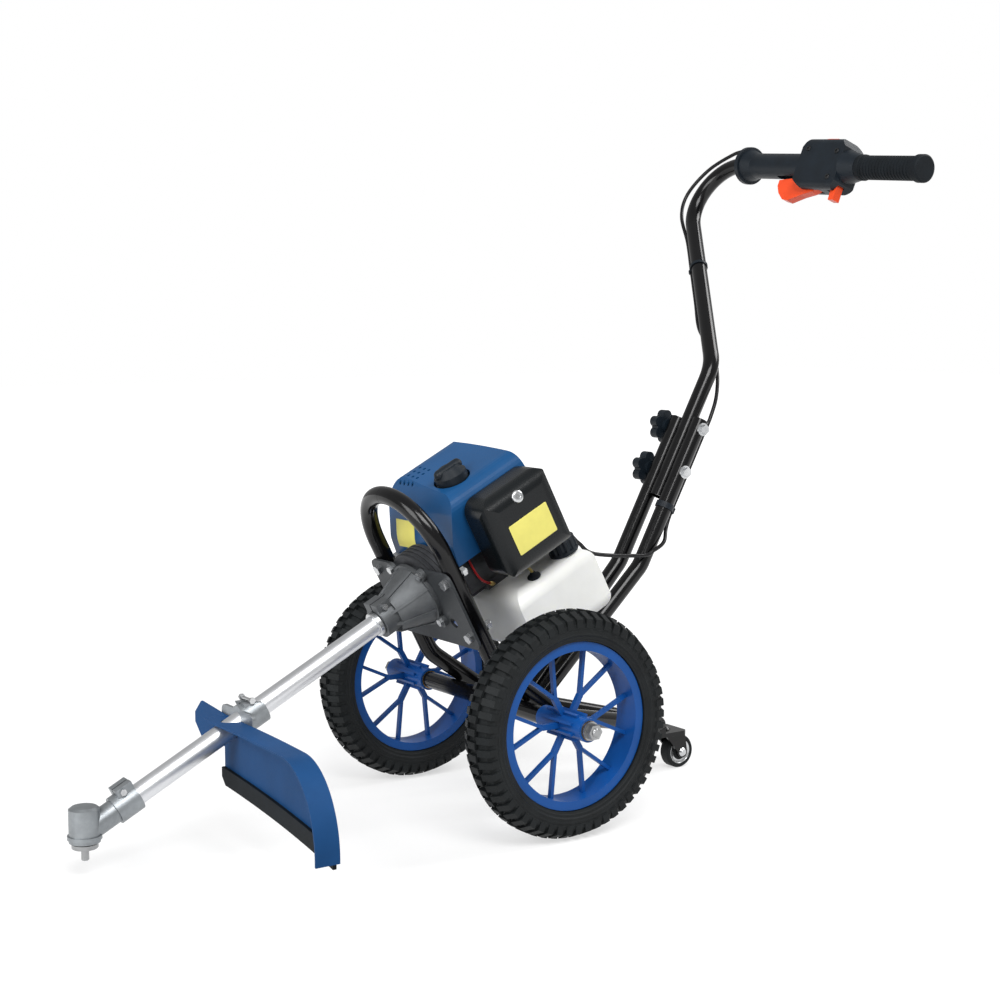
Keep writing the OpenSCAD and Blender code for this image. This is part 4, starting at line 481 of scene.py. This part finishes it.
COLLAR_AT = [76.0, 0.0, 0.0]
COLLAR_PROFILE = [(14.1, 0.4), (17.4, 0.4), (18.2, 1.2), (18.2, 6.8), (17.4, 7.6), (14.1, 7.6),
                  (14.1, 0.4)]
boom_collar = turned("boom_collar", COLLAR_PROFILE, on_engine(COLLAR_AT), BOOM_DIR, sides=48)
dress(boom_collar, "zinc", "chassis")

# Bright rings in the caster wheel's hollows

RING_PROFILE = [(13.3, 7.1), (17.9, 7.1), (19.3, 9.3), (18.8, 9.6), (17.4, 8.4), (13.5, 8.1),
                (13.3, 7.1)]
for side, axis in (("left", LEFT), ("right", -LEFT)):
    ring = turned("caster_ring_" + side, RING_PROFILE, CASTER_MIDDLE * MM, axis)
    dress(ring, "zinc", "caster_roller")

# Screws of the filter cover and of the throttle shells

FILTER_SCREW_AT = [-136, 129.2, 91.6]
FILTER_SCREW_AXIS = 0.98 * LEFT + 0.2 * BOOM_UP
FILTER_SCREW_PROFILE = [(0, 0), (9.0, 0), (9.0, 1.6), (8.2, 2.9), (6.4, 3.6), (4.2, 3.8),
                        (3.6, 2.2), (0, 2.2)]
SHELL_FRONT = -22.0
SHELL_SCREWS_AT = [(174.0, 22.0), (240.0, 18.0), (238.0, -24.0)]    # along the bar and up
SHELL_SCREW_PROFILE = [(0, -0.5), (4.4, -0.5), (4.4, 0.5), (3.6, 1.7), (1.9, 2.2), (1.6, 0.9),
                       (0, 0.9)]

filter_screw = turned("filter_screw", FILTER_SCREW_PROFILE, on_engine(FILTER_SCREW_AT),
                      FILTER_SCREW_AXIS)
dress(filter_screw, "zinc", "chassis")
for number, (run, up) in enumerate(SHELL_SCREWS_AT, 1):
    seat = on_bar([run, SHELL_FRONT, up])
    forwards = on_bar([run, SHELL_FRONT - 1.0, up]) - seat
    screw = turned("throttle_screw_%d" % number, SHELL_SCREW_PROFILE, seat, forwards, sides=24)
    dress(screw, "black_zinc", "handle")

# Studio

FLOOR_HALF = 14.0
FLOOR_GREY = (0.42, 0.42, 0.42, 1.0)
FLOOR_ROUGH = 0.9
GLOW_NEAR, GLOW_FAR = 0.60, 1.0             # the floor's glow below the machine and far from it
GLOW_FROM, GLOW_TO = 0.7, 3.2               # distances between which it grows, in metres
WHITE = (1.0, 1.0, 1.0, 1.0)
WORLD_LIGHT, WORLD_SEEN = 0.45, 1.0         # the world as a light and as a background
LAMPS = [                                   # name, place, target, size, power
    ("key", (1.0, 2.6, 3.2), (0.0, 0.0, 0.4), (2.2, 1.6), 108.0),
    ("fill", (3.2, 0.6, 1.6), (0.0, 0.0, 0.4), (1.8, 2.2), 75.0),
    ("rim", (-2.6, 0.6, 2.6), (-0.2, 0.0, 0.5), (1.4, 1.8), 55.0),
]
CAMERA_AT = np.array([1416.4, 2093.4 + SIDE_SHIFT, 720.2]) * MM
CAMERA_LOOK = np.array([-0.564, -0.818, -0.1075])
CAMERA_SENSOR, CAMERA_LENS, CAMERA_REACH = 36.0, 63.49, 60.0

scene = bpy.context.scene
scene.view_settings.view_transform = "Standard"


def most_of(tree, *sources):
    """The greatest of several outputs, by maximum nodes in a row."""
    most = sources[0]
    for source in sources[1:]:
        most = math_of(tree, "ShaderNodeMath", "MAXIMUM", most, source).outputs[0]
    return most


def studio_floor():
    """A flat floor that shows white to the camera, to reflections and through glass. It glows
    less near the machine, where the lamps light it and the shadow falls."""
    x = np.array([-FLOOR_HALF, FLOOR_HALF])
    grid = np.stack(np.broadcast_arrays(x[:, None], x[None, :], np.zeros((1, 1))), -1)
    floor = surface("floor", grid, around=False)
    m = bpy.data.materials.new("floor_white")
    m.use_nodes = True
    t = m.node_tree
    shader = t.nodes["Principled BSDF"]
    shader.inputs["Base Color"].default_value = FLOOR_GREY
    shader.inputs["Roughness"].default_value = FLOOR_ROUGH
    shader.inputs["Specular IOR Level"].default_value = 0.0
    rays = t.nodes.new("ShaderNodeLightPath").outputs
    seen = most_of(t, rays["Is Camera Ray"], rays["Is Glossy Ray"], rays["Is Transmission Ray"])
    where = t.nodes.new("ShaderNodeTexCoord")
    away = math_of(t, "ShaderNodeVectorMath", "LENGTH", where.outputs["Object"])
    reach = node_of(t, "ShaderNodeMapRange", From_Min=GLOW_FROM, From_Max=GLOW_TO,
                    To_Min=GLOW_NEAR, To_Max=GLOW_FAR)
    t.links.new(away.outputs["Value"], reach.inputs["Value"])
    level = math_of(t, "ShaderNodeMath", "MULTIPLY", seen, reach.outputs["Result"])
    glow = t.nodes.new("ShaderNodeEmission")
    t.links.new(level.outputs[0], glow.inputs["Strength"])
    both = t.nodes.new("ShaderNodeAddShader")
    t.links.new(shader.outputs[0], both.inputs[0])
    t.links.new(glow.outputs[0], both.inputs[1])
    t.links.new(both.outputs[0], t.nodes["Material Output"].inputs["Surface"])
    floor.data.materials.append(m)


def studio_world():
    """Pale light from all round. The camera, and a view through glass, see plain white."""
    world = bpy.data.worlds.new("studio")
    scene.world = world
    world.use_nodes = True
    t = world.node_tree
    back = t.nodes["Background"]
    back.inputs["Color"].default_value = WHITE
    rays = t.nodes.new("ShaderNodeLightPath").outputs
    level = node_of(t, "ShaderNodeMapRange", To_Min=WORLD_LIGHT, To_Max=WORLD_SEEN)
    t.links.new(most_of(t, rays["Is Camera Ray"], rays["Is Transmission Ray"]),
                level.inputs["Value"])
    t.links.new(level.outputs["Result"], back.inputs["Strength"])


def stand(name, data, place, back):
    """Stands a lamp or camera upright at a place, looking against the direction back."""
    obj = bpy.data.objects.new(name, data)
    scene.collection.objects.link(obj)
    back = unit(back)
    right = unit(np.cross(UP, back))
    turn = np.eye(4)
    turn[:3] = np.stack([right, np.cross(back, right), back, place], 1)
    obj.matrix_world = Matrix(turn.tolist())
    return obj


def lamp(name, place, target, size, power):
    """A flat lamp that faces its target."""
    data = bpy.data.lights.new(name, "AREA")
    data.shape = "RECTANGLE"
    data.size, data.size_y = size
    data.energy = power
    stand(name, data, place, np.subtract(place, target))


def photo_camera():
    """The photograph's view: a long lens from the front left, a little above the engine."""
    data = bpy.data.cameras.new("photo_camera")
    data.sensor_width = CAMERA_SENSOR
    data.lens = CAMERA_LENS
    data.clip_end = CAMERA_REACH
    scene.camera = stand("photo_camera", data, CAMERA_AT, -CAMERA_LOOK)


studio_floor()
studio_world()
for settings in LAMPS:
    lamp(*settings)
photo_camera()
